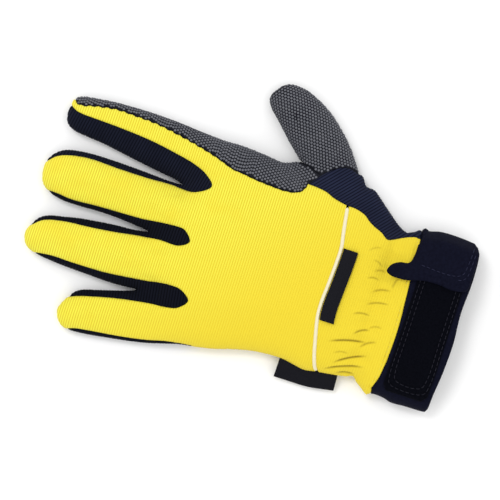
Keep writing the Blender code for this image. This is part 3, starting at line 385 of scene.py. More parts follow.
def make_rim():
    """The rim, its outward normals, and where each named point is on it."""
    rows = rim_controls()
    rim, places = smooth_curve([point for _, point in rows])
    marks = {name: place for (name, _), place in zip(rows, places) if name}
    ahead = np.diff(rim, axis=0)
    ahead /= np.linalg.norm(ahead, axis=1)[:, None]
    tangents = np.vstack([ahead[:1], ahead[:-1] + ahead[1:], ahead[-1:]])
    tangents /= np.linalg.norm(tangents, axis=1)[:, None]
    return rim, np.column_stack([-tangents[:, 1], tangents[:, 0]]), marks


RIM, RIM_OUTWARD, RIM_MARKS = make_rim()
RIM_LINE = Line(RIM, RIM_OUTWARD)


def rim_part(first, last):
    """The rim's points from one named point to another."""
    return RIM[RIM_MARKS[first]:RIM_MARKS[last] + 1]


def nearest(points, line, normals=None):
    """Distance from points to a line, and there the line's own normal turned to each point."""
    line = RIM_LINE if line is RIM else Line(line, normals)
    return line.measure(points)[0] if normals is None else line.outward(points)


def form_fields(points):
    """How deep the glove is at points of the plan, and how far in from the rim its rounded edge reaches."""
    down = -points[:, 1] / PALM_LENGTH
    to_wrist = smooth(down, *WRIST_RAMP)
    to_cuff = smooth(down, *CUFF_RAMP)
    depth = HAND_DEPTH + (WRIST_DEPTH - HAND_DEPTH) * to_wrist + (CUFF_DEPTH - WRIST_DEPTH) * to_cuff
    edge = HAND_EDGE + (WRIST_EDGE - HAND_EDGE) * to_wrist
    total = np.zeros(len(points))
    finger_depth = np.zeros(len(points))
    finger_edge = np.zeros(len(points))
    for finger in FINGERS:
        tipwards = np.array([math.sin(finger.lean), math.cos(finger.lean)])
        along = (points - finger.base) @ tipwards
        across = (points - finger.base) @ np.array([tipwards[1], -tipwards[0]])
        web = WEB_SHARE * finger.length
        weight = smooth(along, web - KNUCKLE_BLEND, web)
        weight = weight * (1 - smooth(abs(across), 0.60 * finger.width, 0.95 * finger.width))
        total += weight
        finger_depth += weight * FINGER_DEPTH * finger.width
        finger_edge += weight * FINGER_EDGE * finger.width
    share = np.clip(total, 0, 1)
    total = np.maximum(total, 1e-9)
    depth = depth * (1 - share) + finger_depth / total * share
    edge = edge * (1 - share) + finger_edge / total * share
    return depth, edge


def gathers(points):
    """How far the wrist's pleats and the elastic pull the upper face down."""
    down = -points[:, 1] / PALM_LENGTH
    fan = 1 + PLEAT_FAN * (1 - smooth(down, *GATHER_RAMP))
    wave = 0.5 - 0.5 * np.cos(2 * math.pi * points[:, 0] / (GATHER_PITCH * fan))
    reach = smooth(down, *GATHER_RAMP) * (1 - smooth(down, *GATHER_END))
    inside = 1 - smooth(points[:, 0], 0.24 * PALM_WIDTH, 0.30 * PALM_WIDTH)
    elastic = ELASTIC_DEPTH * np.exp(-((down - ELASTIC_LINE) / ELASTIC_SPREAD) ** 2)
    return GATHER_DEPTH * wave * reach * inside + elastic


def upper_face(points):
    """The glove's upper face: positions and outward normals over points of the plan."""
    distance, outward = RIM_LINE.outward(points)
    depth, edge = form_fields(points)
    rise = depth * (1 - EDGE_SHARE)
    inwards = 1 - np.clip(distance / edge, 0, 1)
    round_share = np.sqrt(1 - inwards**2)
    crown = HAND_CROWN * smooth(distance, 0.6 * edge, edge + 0.5 * HAND_EDGE)
    height = depth * EDGE_SHARE + rise * round_share + crown - gathers(points) * round_share
    normals = np.column_stack([outward * (inwards / edge)[:, None], round_share / rise])
    normals /= np.linalg.norm(normals, axis=1)[:, None]
    return np.column_stack([points, height]), normals


def lower_face(points):
    """The glove's lower face, flat on the surface but for its rounded edge."""
    distance, outward = RIM_LINE.outward(points)
    depth, edge = form_fields(points)
    lift = depth * EDGE_SHARE
    edge = edge * UNDER_EDGE_SHARE
    inwards = 1 - np.clip(distance / edge, 0, 1)
    round_share = np.sqrt(1 - inwards**2)
    normals = np.column_stack([outward * (inwards / edge)[:, None], -round_share / lift])
    normals /= np.linalg.norm(normals, axis=1)[:, None]
    return np.column_stack([points, lift * (1 - round_share)]), normals


def cross(first, second):
    """Cross product of vectors of the plan."""
    return first[..., 0] * second[..., 1] - first[..., 1] * second[..., 0]


def signed_area(loop):
    """The area inside a loop, plus if it runs anticlockwise."""
    ahead = np.roll(loop, -1, axis=0)
    return 0.5 * float((loop[:, 0] * ahead[:, 1] - loop[:, 1] * ahead[:, 0]).sum())


def drawn_in(chains):
    """Join chains end to end into a loop whose edges move inwards, and give back the parts on the rim."""
    points = np.vstack([chain.points[:-1] for chain in chains])
    moves = np.concatenate([[chain.move] * (len(chain.points) - 1) for chain in chains])
    ahead = np.roll(points, -1, axis=0) - points
    ahead /= np.linalg.norm(ahead, axis=1)[:, None]
    inward = np.column_stack([-ahead[:, 1], ahead[:, 0]]) * np.sign(signed_area(points))
    moved = points.copy()
    for index in range(len(points)):
        first = inward[index - 1]
        second = inward[index]
        corner = first[0] * second[1] - first[1] * second[0]
        if abs(corner) < STRAIGHT_CORNER:
            moved[index] += (first + second) / 2 * (moves[index - 1] + moves[index]) / 2
            continue
        shift = np.array([moves[index - 1] * second[1] - moves[index] * first[1],
                          moves[index] * first[0] - moves[index - 1] * second[0]]) / corner
        reach = max(moves[index - 1], moves[index]) * MITRE_LIMIT
        length = np.linalg.norm(shift)
        moved[index] += shift * min(1, reach / max(length, 1e-9))
    on_rim = []
    start = 0
    for chain in chains:
        count = len(chain.points) - 1
        if chain.on_rim:
            on_rim.append(moved[np.arange(start, start + count + 1) % len(moved)])
        start += count
    return moved, on_rim


def inset(part, depth):
    """Points a little inside the rim beside part of it, without those that a sharp corner would cross.

    Each end goes in along the normal of the rim's own nearest point. Two panels' ends so stay side by side.
    """
    _, outward = nearest(part, RIM, RIM_OUTWARD)
    for end in (0, -1):
        outward[end] = RIM_OUTWARD[np.linalg.norm(RIM - part[end], axis=1).argmin()]
    points = part - outward * depth
    clear = nearest(points, RIM) > 0.97 * depth
    for end, neighbour in ((0, 1), (-1, -2)):
        line = points[end] - part[end]
        this_side = cross(line, part[neighbour] - part[end]) * cross(line, points - part[end]) > 0
        clear &= this_side | (np.linalg.norm(points - part[end], axis=1) > 3 * depth)
        clear &= np.linalg.norm(points - points[end], axis=1) > 0.3 * depth
    clear[0] = True
    clear[-1] = True
    return points[clear]


def inside(loop, points):
    """Which points lie inside a loop."""
    result = np.zeros(len(points), dtype=bool)
    start = loop
    end = np.roll(loop, -1, axis=0)
    for (x1, y1), (x2, y2) in zip(start, end):
        spans = (y1 > points[:, 1]) != (y2 > points[:, 1])
        if not spans.any():
            continue
        crossing = x1 + (points[:, 1] - y1) / (y2 - y1) * (x2 - x1)
        result ^= spans & (points[:, 0] < crossing)
    return result


def inner_points(loop, weave, turn):
    """Points inside a loop, in rows beside the rim and on the weave's own rows elsewhere."""
    steps = np.array([weave.spacing, weave.row])
    turned = loop @ turn
    low = np.floor(turned.min(0) / steps).astype(int)
    high = np.ceil(turned.max(0) / steps).astype(int)
    columns, lines = np.meshgrid(np.arange(low[0], high[0] + 1), np.arange(low[1], high[1] + 1))
    grid = (np.column_stack([(columns + lines % 2 / 2).ravel(), lines.ravel()]) * steps) @ turn.T
    grid = grid[inside(loop, grid)]
    grid = grid[nearest(grid, RIM) > EDGE_ROWS[-1] + 0.4 * min(weave.spacing, 2 * weave.row)]
    beside = np.vstack([RIM - RIM_OUTWARD * row for row in EDGE_ROWS])
    reach = np.repeat(EDGE_ROWS, len(RIM))
    held = inside(loop, beside)
    beside = beside[held]
    reach = reach[held]
    if len(beside):
        beside = beside[nearest(beside, RIM) > 0.9 * reach]
    candidates = np.vstack([beside, grid])
    if len(candidates):
        ring = np.vstack([loop, loop[:1]])
        clear = np.minimum(CLEARANCE, 0.6 * nearest(candidates, RIM))
        candidates = candidates[nearest(candidates, ring) > clear]
    return candidates


def fill(loop, weave):
    """Points and triangles that fill a loop."""
    cos, sin = math.cos(weave.angle), math.sin(weave.angle)
    turn = np.array([[cos, -sin], [sin, cos]])
    points = np.vstack([loop, inner_points(loop, weave, turn)])
    stretched = (points @ turn) * [1, weave.spacing * HEX_ROW / weave.row]
    edges = [(index, (index + 1) % len(loop)) for index in range(len(loop))]
    _, _, faces, sources, _, _ = delaunay_2d_cdt([Vector(p) for p in stretched], edges, [], 1, 1e-7)
    triangles = []
    for face in faces:
        corners = [sources[index][0] for index in face]
        if signed_area(points[corners]) < 0:
            corners.reverse()
        triangles.append(corners)
    return points, triangles


def untangled(loop, reach=24):
    """The loop without the small knots that drawing it in leaves at sharp corners."""
    for _ in range(60):
        ahead = np.roll(loop, -1, axis=0) - loop
        knot = None
        for step in range(2, reach):
            other = np.roll(loop, -step, axis=0)
            turn = np.roll(ahead, -step, axis=0)
            size = cross(ahead, turn)
            real = np.abs(size) > 1e-13
            size = np.where(real, size, 1.0)
            share = cross(other - loop, turn) / size
            far = cross(other - loop, ahead) / size
            found = np.nonzero(real & (share > 0) & (share < 1) & (far > 0) & (far < 1))[0]
            if len(found):
                knot = (found[0], step, loop[found[0]] + ahead[found[0]] * share[found[0]])
                break
        if knot is None:
            break
        start, step, spot = knot
        loop = np.vstack([spot, np.roll(loop, -start - 1, axis=0)[step:]])
    return loop


def upper_sheet(loop, seams=()):
    return Sheet(untangled(loop), False, list(seams))


def lower_sheet(loop, seams=()):
    return Sheet(untangled(loop), True, list(seams))


def tuck(part):
    """The strip of the lower face beside part of the rim, as far as the palm's seam."""
    inner = inset(part, SEAM_TUCK)
    return lower_sheet(np.vstack([part, inner[::-1]]), [inner])


class Layer:
    """One layer of a piece of cloth: the places of its plan on the form, and its triangles."""

    def __init__(self, sheets, weave):
        self.index_of = {}
        self.faces = []
        plans = []
        spots = []
        directions = []
        seams = []
        unders = []
        for sheet in sheets:
            points, triangles = fill(sheet.loop, weave)
            face = lower_face if sheet.under else upper_face
            places, normals = face(points)
            on_rim = nearest(points, RIM) < 1e-7
            from_seam = np.full(len(points), 1.0)
            for line in sheet.seams:
                from_seam = np.minimum(from_seam, nearest(points, line))
            numbers = []
            for row, point in enumerate(points):
                key = (point[0], point[1], bool(sheet.under and not on_rim[row]))
                if key not in self.index_of:
                    self.index_of[key] = len(plans)
                    plans.append(point)
                    spots.append(places[row])
                    directions.append(normals[row])
                    seams.append(from_seam[row])
                    unders.append(sheet.under)
                numbers.append(self.index_of[key])
            for triangle in triangles:
                if sheet.under:
                    triangle = triangle[::-1]
                self.faces.append([numbers[corner] for corner in triangle])
        self.plan = np.array(plans)
        self.spots = np.array(spots)
        self.normals = np.array(directions)
        self.from_seam = np.array(seams)
        self.under = np.array(unders)


def as_array(value, layer):
    return value(layer) if callable(value) else np.full(len(layer.plan), value)


COARSE = Weave(0.0, 0.0032, 0.0036)


def cloth(name, sheets, looks, weave, outer, inner, nodes, lift=None, marks=None):
    """A closed piece of cloth: a fine outer layer and a plain inner layer joined round their open edges."""
    fine = Layer(sheets, weave)
    plain = Layer(sheets, COARSE)
    layers = []
    for layer, level in ((fine, outer), (plain, inner)):
        spots = layer.spots + layer.normals * as_array(level, layer)[:, None]
        if lift:
            spots[:, 2] += lift(layer)
        layers.append(spots)
    count = len(fine.plan)
    edges = {(face[i], face[(i + 1) % 3]) for face in fine.faces for i in range(3)}
    key_of = {number: key for key, number in fine.index_of.items()}
    walls = []
    for first, second in sorted(edge for edge in edges if (edge[1], edge[0]) not in edges):
        under = [plain.index_of.get(key_of[corner]) for corner in (first, second)]
        if None not in under:
            walls.append((second, first, under[0] + count, under[1] + count))
    faces = fine.faces + [[corner + count for corner in reversed(face)] for face in plain.faces] + walls
    item = piece(name, np.vstack(layers), faces, looks, nodes)
    # The mark attribute holds how much painted shade darkens the creases.
    if marks:
        attribute = item.data.attributes.new("mark", "FLOAT", "POINT")
        values = np.concatenate([marks(fine), np.zeros(len(plain.plan))])
        attribute.data.foreach_set("value", values.astype(np.float32))
    return item


def piece(name, spots, faces, looks, nodes, sharp=math.radians(70)):
    """A mesh of the row's frame that rides on the glove and stands for nodes of the frame."""
    mesh = bpy.data.meshes.new(name)
    mesh.from_pydata((spots + PLACE).tolist(), [], faces)
    mesh.shade_smooth()
    mesh.set_sharp_from_angle(angle=sharp)
    mesh.materials.append(looks)
    item = bpy.data.objects.new(name, mesh)
    bpy.context.scene.collection.objects.link(item)
    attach(item, "root")
    if nodes:
        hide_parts(*nodes)
    return item


def ribs(layer, weave, depth):
    """A rib's height at each point of a layer, from 0 in the grooves to depth on the ribs."""
    across = layer.plan @ [-math.sin(weave.angle), math.cos(weave.angle)]
    pitch = weave.row * RIB_SAMPLES
    return depth * np.abs(np.cos(math.pi * across / pitch)) ** 0.8 - depth


def roll(distance, reach=SEAM_ROLL, depth=SEAM_SINK):
    """How far the cloth's face turns down towards a seam."""
    share = 1 - np.clip(distance / reach, 0, 1)
    return -depth * (1 - np.sqrt(1 - share**2))


def soft_waves(plan, pitch, depth):
    """Slow unevenness of the cloth."""
    x, y = plan[:, 0] / pitch, plan[:, 1] / pitch
    waves = np.sin(x * 1.3 + 2.1 * np.sin(y * 0.7)) + np.sin(y * 1.7 + 1.3 * np.sin(x * 0.9))
    return depth * 0.5 * waves


def groove(plan, line, depth, width, away=0.0):
    """How far the cloth sinks in a groove beside a line of the plan."""
    return -depth * np.exp(-((nearest(plan, line) - away) / width) ** 2)


# Creases of the wrist: out and down at one end, out and down at the other, and a share of depth
CREASES = [(-0.412, 0.840, -0.345, 1.018, 1.0), (-0.366, 0.875, -0.288, 1.018, 1.0),
           (-0.269, 0.820, -0.222, 0.995, 1.0), (-0.198, 0.925, -0.158, 0.995, 0.8),
           (-0.104, 0.890, -0.088, 0.975, 0.6), (-0.040, 0.942, -0.008, 1.045, 0.6),
           (0.028, 0.950, 0.058, 1.035, 0.6), (0.085, 0.905, 0.094, 0.965, 0.5),
           (0.128, 0.930, 0.140, 0.985, 0.5), (0.180, 0.905, 0.160, 0.960, 0.4),
           (-0.415, 0.905, -0.394, 0.995, 0.8), (-0.320, 0.860, -0.300, 0.930, 0.4),
           (-0.255, 0.975, -0.205, 1.045, 0.6), (0.070, 1.040, 0.140, 1.062, 0.5),
           (0.215, 0.870, 0.250, 0.930, 0.3), (-0.150, 0.990, -0.130, 1.050, 0.4)]
CREASE_DEPTH = 0.0007
CREASE_WIDTH = 0.00048
CREASE_BOW = 0.0008


def creases(plan):
    """How strong a crease is at each point of the plan, from 0 to 1."""
    strength = np.zeros(len(plan))
    for out, down, far_out, far_down, share in CREASES:
        start, end = hand_point(out, down), hand_point(far_out, far_down)
        ahead = end - start
        along = ((plan - start) @ ahead) / (ahead @ ahead)
        side = cross(ahead / np.linalg.norm(ahead), plan - start)
        bow = CREASE_BOW * np.sin(math.pi * np.clip(along, 0, 1))
        taper = smooth(along, -0.08, 0.30) * (1 - smooth(along, 0.75, 1.12))
        strength = np.maximum(strength, share * taper * np.exp(-((side - bow) / CREASE_WIDTH) ** 2))
    return strength


# Materials
LIGHT_LEVEL = 1.30
KNIT_ROUGHNESS = 0.85
KNIT_RELIEF = 0.35
LOOP_SHARE = 0.62


def linear(*shades):
    """The surface colour that shows as these display values, from 0 to 255, under the studio light."""
    values = []
    for shade in shades:
        value = shade / 255
        value = value / 12.92 if value <= 0.04045 else ((value + 0.055) / 1.055) ** 2.4
        values.append(value / LIGHT_LEVEL)
    return (*values, 1.0)


def new_material(name):
    """A material and its tree and shader."""
    made = bpy.data.materials.new(name)
    made.use_nodes = True
    return made, made.node_tree, made.node_tree.nodes["Principled BSDF"]


def add(tree, kind, inputs, **settings):
    """A node with its settings, and at each named input a link to another node's output or a value."""
    made = tree.nodes.new(kind)
    for key, value in settings.items():
        setattr(made, key, value)
    for key, value in inputs.items():
        if isinstance(value, bpy.types.NodeSocket):
            tree.links.new(value, made.inputs[key])
        else:
            made.inputs[key].default_value = value
    return made


def math_node(tree, operation, *values):
    return add(tree, "ShaderNodeMath", dict(enumerate(values)), operation=operation).outputs[0]


def mix_colours(tree, share, first, second):
    return add(tree, "ShaderNodeMix", {0: share, 6: first, 7: second}, data_type="RGBA").outputs[2]


def ranged(tree, value, low, high, first=0.0, last=1.0, kind="LINEAR"):
    """A value between low and high as a value between first and last."""
    inputs = {0: value, 1: low, 2: high, 3: first, 4: last}
    return add(tree, "ShaderNodeMapRange", inputs, interpolation_type=kind).outputs[0]


def noise(tree, place, scale, detail):
    inputs = {"Vector": place, "Scale": scale, "Detail": detail}
    return add(tree, "ShaderNodeTexNoise", inputs).outputs[0]


def ripple(tree, operation, place, pitch):
    """A wave from 0 to 1 along a coordinate, with one crest in each pitch."""
    turned = math_node(tree, "MULTIPLY", place, math.pi / pitch)
    return math_node(tree, "ABSOLUTE", math_node(tree, operation, turned))


def relief(tree, shader, height, strength, distance):
    """Give a shader fine relief."""
    bump = add(tree, "ShaderNodeBump", {"Height": height, "Strength": strength, "Distance": distance})
    tree.links.new(bump.outputs[0], shader.inputs["Normal"])


def uneven_roughness(tree, shader, grain, roughness, spread):
    """Give a shader a roughness that varies with the grain."""
    rough = ranged(tree, grain, 0.0, 1.0, roughness - spread, min(1.0, roughness + spread))
    tree.links.new(rough, shader.inputs["Roughness"])


def knit(name, weave, ridge, valley_shade, crease, mottle_and_shade, gloss=1.0):
    """A ribbed knit: ribs with grooves painted darker as shade, loops along each rib, a little unevenness,
    painted shade towards the little finger's side and the wrist, and painted shade in creases.
    """
    made, tree, shader = new_material(name)
    pitch = weave.row * RIB_SAMPLES
    place = add(tree, "ShaderNodeTexCoord", {}).outputs["Object"]
    moved = add(tree, "ShaderNodeVectorMath", {0: place, 1: tuple(-PLACE)}, operation="ADD").outputs[0]
    turned = add(tree, "ShaderNodeVectorRotate", {"Vector": moved, "Angle": -weave.angle},
                 rotation_type="Z_AXIS").outputs[0]
    parts = add(tree, "ShaderNodeSeparateXYZ", {0: turned})
    along, across = parts.outputs[0], parts.outputs[1]
    # Painted light and shade: ridges get the lighter lit colour, grooves the darker painted shade colour.
    ridges = ranged(tree, ripple(tree, "COSINE", across, pitch), 0.12, 0.75, kind="SMOOTHSTEP")
    base = mix_colours(tree, ridges, linear(*valley_shade), linear(*ridge))
    cloudy = ranged(tree, noise(tree, turned, 90.0, 2.0), 0.35, 0.70, 0.0, 0.35)
    # Painted shade: besides the random mottle, the colour turns to the darker tint towards the little
    # finger's side and the wrist.
    down = math_node(tree, "ADD", along, math_node(tree, "MULTIPLY", across, 1.2))
    low = ranged(tree, down, 0.030, -0.105, 0.0, 0.85, kind="SMOOTHSTEP")
    base = mix_colours(tree, math_node(tree, "MAXIMUM", cloudy, low), base, linear(*mottle_and_shade))
    # Painted shade in the wrist's creases, read from the mark attribute.
    crease_shade_mask = add(tree, "ShaderNodeAttribute", {}, attribute_name="mark").outputs["Fac"]
    base = mix_colours(tree, crease_shade_mask, base, linear(*crease))
    tree.links.new(base, shader.inputs["Base Color"])
    loops = math_node(tree, "MULTIPLY", ripple(tree, "SINE", along, LOOP_SHARE * pitch), 0.6)
    fibre = noise(tree, turned, 2600.0, 2.0)
    height = math_node(tree, "ADD", loops, math_node(tree, "MULTIPLY", fibre, 0.8))
    relief(tree, shader, height, KNIT_RELIEF, 0.00012)
    uneven_roughness(tree, shader, fibre, KNIT_ROUGHNESS, 0.06)
    shader.inputs["Specular IOR Level"].default_value = 0.12 * gloss
    shader.inputs["Sheen Weight"].default_value = 0.06 * gloss
    shader.inputs["Sheen Roughness"].default_value = 0.5
    return made


def matte(name, first, second, scale, roughness, strength, distance, specular=0.04):
    """A matte cloth, foam or plate: a mottled colour with fine relief."""
    made, tree, shader = new_material(name)
    place = add(tree, "ShaderNodeTexCoord", {}).outputs["Object"]
    mottle = ranged(tree, noise(tree, place, scale, 4.0), 0.30, 0.70)
    base = mix_colours(tree, mottle, linear(*first), linear(*second))
    tree.links.new(base, shader.inputs["Base Color"])
    grain = noise(tree, place, scale * 3.1, 3.0)
    relief(tree, shader, grain, strength, distance)
    uneven_roughness(tree, shader, grain, roughness, 0.08)
    shader.inputs["Specular IOR Level"].default_value = specular
    return made


# Seams and panels
def seam(points):
    """Chain of a seam between two panels, each of which stays half a gap away from it."""
    return Chain(points, PANEL_GAP / 2, False)


def rim(first, last):
    return Chain(rim_part(first, last), 0.0, True)


def reverse(chain):
    return Chain(chain.points[::-1], chain.move, chain.on_rim)


def mark(name):
    return RIM[RIM_MARKS[name]]


def under_mark(name):
    """The point of the palm's seam that lies straight in from a named point of the rim."""
    return mark(name) - RIM_OUTWARD[RIM_MARKS[name]] * (SEAM_TUCK + PANEL_GAP)


def finger_controls(finger, rows):
    return [finger_point(finger, *row) for row in rows]


def hand_controls(rows):
    return [hand_point(*row) for row in rows]


def divided(*points):
    """A line of straight runs with fine points along it."""
    line = [np.array(points[0])]
    for first, second in zip(points, points[1:]):
        count = max(1, math.ceil(np.linalg.norm(np.subtract(second, first)) / FINE))
        line += [np.array(first) + np.subtract(second, first) * step / count for step in range(1, count + 1)]
    return np.array(line)


def lengths_along(line):
    """How far along a line each of its points is."""
    return np.concatenate([[0], np.cumsum(np.linalg.norm(np.diff(line, axis=0), axis=1))])


def directions_along(line):
    """The unit direction of a line at each of its points."""
    ahead = np.gradient(line, axis=0)
    return ahead / np.linalg.norm(ahead, axis=1)[:, None]


SCALLOP = 0.0003
SCALLOP_PITCH = 0.0046
SCALLOP_TAPER = 0.004


def scalloped(line):
    """A seam pulled into small scallops by its stitches."""
    ahead = directions_along(line)
    along = lengths_along(line)
    taper = smooth(along, 0, SCALLOP_TAPER) * (1 - smooth(along, along[-1] - SCALLOP_TAPER, along[-1]))
    slack = 0.3 + 0.7 * smooth(line[:, 1], -0.012, 0.020)
    wave = SCALLOP * slack * np.sin(2 * math.pi * along / SCALLOP_PITCH) * taper
    return line + np.column_stack([-ahead[:, 1], ahead[:, 0]]) * wave[:, None]


# The seams between fingers: name, the two fingers, where it starts and ends on the rim, and on each finger
# the point whose midway is the seam's foot
WEBS = (("little_ring", LITTLE, RING, "little_thumb", "ring_little", (-0.212, 0.426), (-0.100, -0.462)),
        ("ring_middle", RING, MIDDLE, "ring_thumb", "middle_little", (-0.018, 0.571), (-0.007, -0.474)),
        ("middle_index", MIDDLE, INDEX, "middle_thumb", "index_little", (-0.028, 0.625), (-0.039, -0.389)))


def make_seams():
    """Every seam on the upper face, from named point to named point."""
    seams = {}
    strip = [mark("strip_root")] + finger_controls(LITTLE, LITTLE.little_seam) + [mark("strip_tip")]
    seams["strip"] = seam(faceted(strip))
    for name, first, second, start, end, first_foot, second_foot in WEBS:
        controls = [mark(start)] + finger_controls(first, first.thumb_seam)
        controls.append(between(first, first_foot, second, second_foot))
        controls += finger_controls(second, second.little_seam) + [mark(end)]
        seams[name] = seam(faceted(controls))
    top = hand_point(*GUSSET_TOP)
    end = hand_point(*PIPING_END)
    foot = hand_point(*THUMB_WEB_FOOT)
    hem_end = hand_point(*HEM_GUSSET_END)
    palm = [mark("index_thumb")] + finger_controls(INDEX, INDEX.thumb_seam) + hand_controls(PALM_SEAM) + [top]
    seams["palm"] = seam(scalloped(faceted(palm)))
    seams["gusset"] = seam(faceted([top] + hand_controls(GUSSET_SEAM) + [end]))
    seams["wrist"] = seam(faceted([end] + hand_controls(WRIST_SEAM) + [hem_end]))
    seams["thumb_base"] = seam(faceted([mark("gusset_thumb")] + hand_controls(THUMB_BASE_SEAM) + [foot]))
    seams["palm_foot"] = seam(divided(foot, top))
    seams["thumb_web"] = seam(faceted([foot] + hand_controls(THUMB_WEB_SEAM) + [mark("thumb_web")]))
    piping = faceted([mark("piping_little")] + hand_controls(PIPING_LINE) + [end])
    seams["piping"] = Chain(piping, 0.7 * PIPING_RADIUS, False)
    across = faceted([hem_end] + hand_controls(HEM_LINE[::-1]) + [under_mark("hem_little")])
    little_end = divided(under_mark("hem_little"), mark("hem_little"))
    seams["hem"] = seam(np.vstack([across, little_end[1:]]))
    seams["hem_gusset"] = seam(divided(mark("hem_thumb"), under_mark("hem_thumb"), hem_end))
    return seams


SEAMS = make_seams()
HEM_STITCH = 0.0017
HEM_GROOVE_DEPTH = 0.00045
HEM_GROOVE_WIDTH = 0.0004
PLATE_BED = 0.0002
PLATE_FOOT = 0.0003
KNIT_WAVES = (0.008, 0.00012)
FABRIC_WAVES = (0.011, 0.00015)
CUFF_WAVES = (0.006, 0.0002)

YELLOW_WEAVE = Weave(0.0, YELLOW_RIB / RIB_SAMPLES, 0.0011)
WRIST_WEAVE = Weave(0.0, YELLOW_RIB / RIB_SAMPLES, 0.0005)
INDEX_WEAVE = Weave(math.radians(-12), BLACK_RIB / RIB_SAMPLES, 0.0011)
MIDDLE_WEAVE = Weave(math.radians(-2), BLACK_RIB / RIB_SAMPLES, 0.0011)
LITTLE_WEAVE = Weave(math.radians(8), BLACK_RIB / RIB_SAMPLES, 0.0011)
GUSSET_WEAVE = Weave(math.radians(-42), BLACK_RIB / RIB_SAMPLES, 0.0011)
GREY_WEAVE = Weave(0.0, 0.0014, 0.0016)
CUFF_WEAVE = Weave(0.0, 0.0008, 0.0009)
PATCH_WEAVE = Weave(0.0, 0.0005, 0.0006)
LABEL_WEAVE = Weave(0.0, 0.0006, 0.0007)

# Display colours of the knits: lit ridges, grooves with painted shade, creases with painted shade, and mottle
# that also paints shade on the lower side; and how dark each black knit is
BLACK_RIDGE = (40, 45, 68)
BLACK_VALLEY_SHADE = (8, 8, 20)
BLACK_CREASE_SHADE = (6, 6, 12)
BLACK_MOTTLE_AND_SHADE = (18, 20, 36)
BLACK_SHADES = {INDEX_WEAVE: 0.68, MIDDLE_WEAVE: 0.5, LITTLE_WEAVE: 0.5, GUSSET_WEAVE: 1.0}
BLACK_GLOSS = 0.3

LOOKS = {
    # Yellow knit: lit ridge, groove with painted shade, crease with painted shade, and a mottle colour that
    # also paints shade towards the little finger's side and the wrist.
    "yellow": knit("yellow_knit", YELLOW_WEAVE, (257, 252, 84), (232, 200, 42), (96, 66, 12), (253, 224, 54)),
    "grey": matte("plated_fabric_base", (26, 27, 33), (40, 41, 48), 900.0, 0.8, 0.5, 0.0002),
    "plates": matte("plates", (93, 95, 103), (119, 120, 127), 700.0, 0.5, 0.3, 0.0001, specular=0.15),
    "neoprene": matte("neoprene", (11, 12, 28), (18, 20, 38), 800.0, 0.75, 0.5, 0.0002),
    "loops": matte("loop_fabric", (4, 5, 12), (12, 13, 22), 1500.0, 0.95, 1.0, 0.0004),
    "label": matte("woven_label", (20, 20, 26), (30, 30, 36), 1800.0, 0.55, 0.5, 0.0001),
    "yellow_thread": matte("yellow_thread", (255, 244, 110), (248, 228, 70), 900.0, 0.6, 0.3, 0.0001),
    "dark_thread": matte("dark_thread", (14, 14, 20), (26, 26, 36), 900.0, 0.6, 0.3, 0.0001),
    "patch_thread": matte("patch_thread", (38, 38, 48), (52, 52, 62), 900.0, 0.6, 0.3, 0.0001),
    "strap_thread": matte("strap_thread", (44, 46, 68), (56, 58, 82), 900.0, 0.6, 0.3, 0.0001),
    "piping": matte("piping", (255, 248, 214), (252, 240, 202), 400.0, 0.6, 0.3, 0.0001, specular=0.1),
}
for weave, shade in BLACK_SHADES.items():
    colours = (BLACK_RIDGE, BLACK_VALLEY_SHADE, BLACK_MOTTLE_AND_SHADE)
    ridge, valley_shade, mottle_and_shade = [[value * shade for value in colour] for colour in colours]
    LOOKS[weave] = knit(f"black_knit_{round(math.degrees(weave.angle)) % 360}", weave, ridge, valley_shade,
                        BLACK_CREASE_SHADE, mottle_and_shade, BLACK_GLOSS)


def panel(name, chains, looks, weave, depth, marks=None, extra=None):
    """A knit panel of the upper face whose edges on the rim tuck under as far as the palm's seam."""
    loop, on_rim = drawn_in(chains)
    seams = [chain.points for chain in chains if not chain.on_rim]
    sheets = [upper_sheet(loop, seams)] + [tuck(part) for part in on_rim]

    def outer(layer):
        height = ribs(layer, weave, depth) + roll(layer.from_seam) + soft_waves(layer.plan, *KNIT_WAVES)
        if extra:
            height = height + extra(layer)
        return height

    return cloth(name + "_cloth", sheets, looks, weave, outer, -KNIT_THICKNESS, [name], marks=marks)


def hem_folds(layer):
    """The stitched groove along the wrist's hem, and the creases that its elastic pulls."""
    stitched = groove(layer.plan, SEAMS["hem"].points, HEM_GROOVE_DEPTH, HEM_GROOVE_WIDTH, HEM_STITCH)
    return stitched - CREASE_DEPTH * creases(layer.plan)


def crease_shade_marks(layer):
    """How strongly painted shade darkens the wrist's creases, on the upper face only."""
    return 0.75 * creases(layer.plan) * ~layer.under


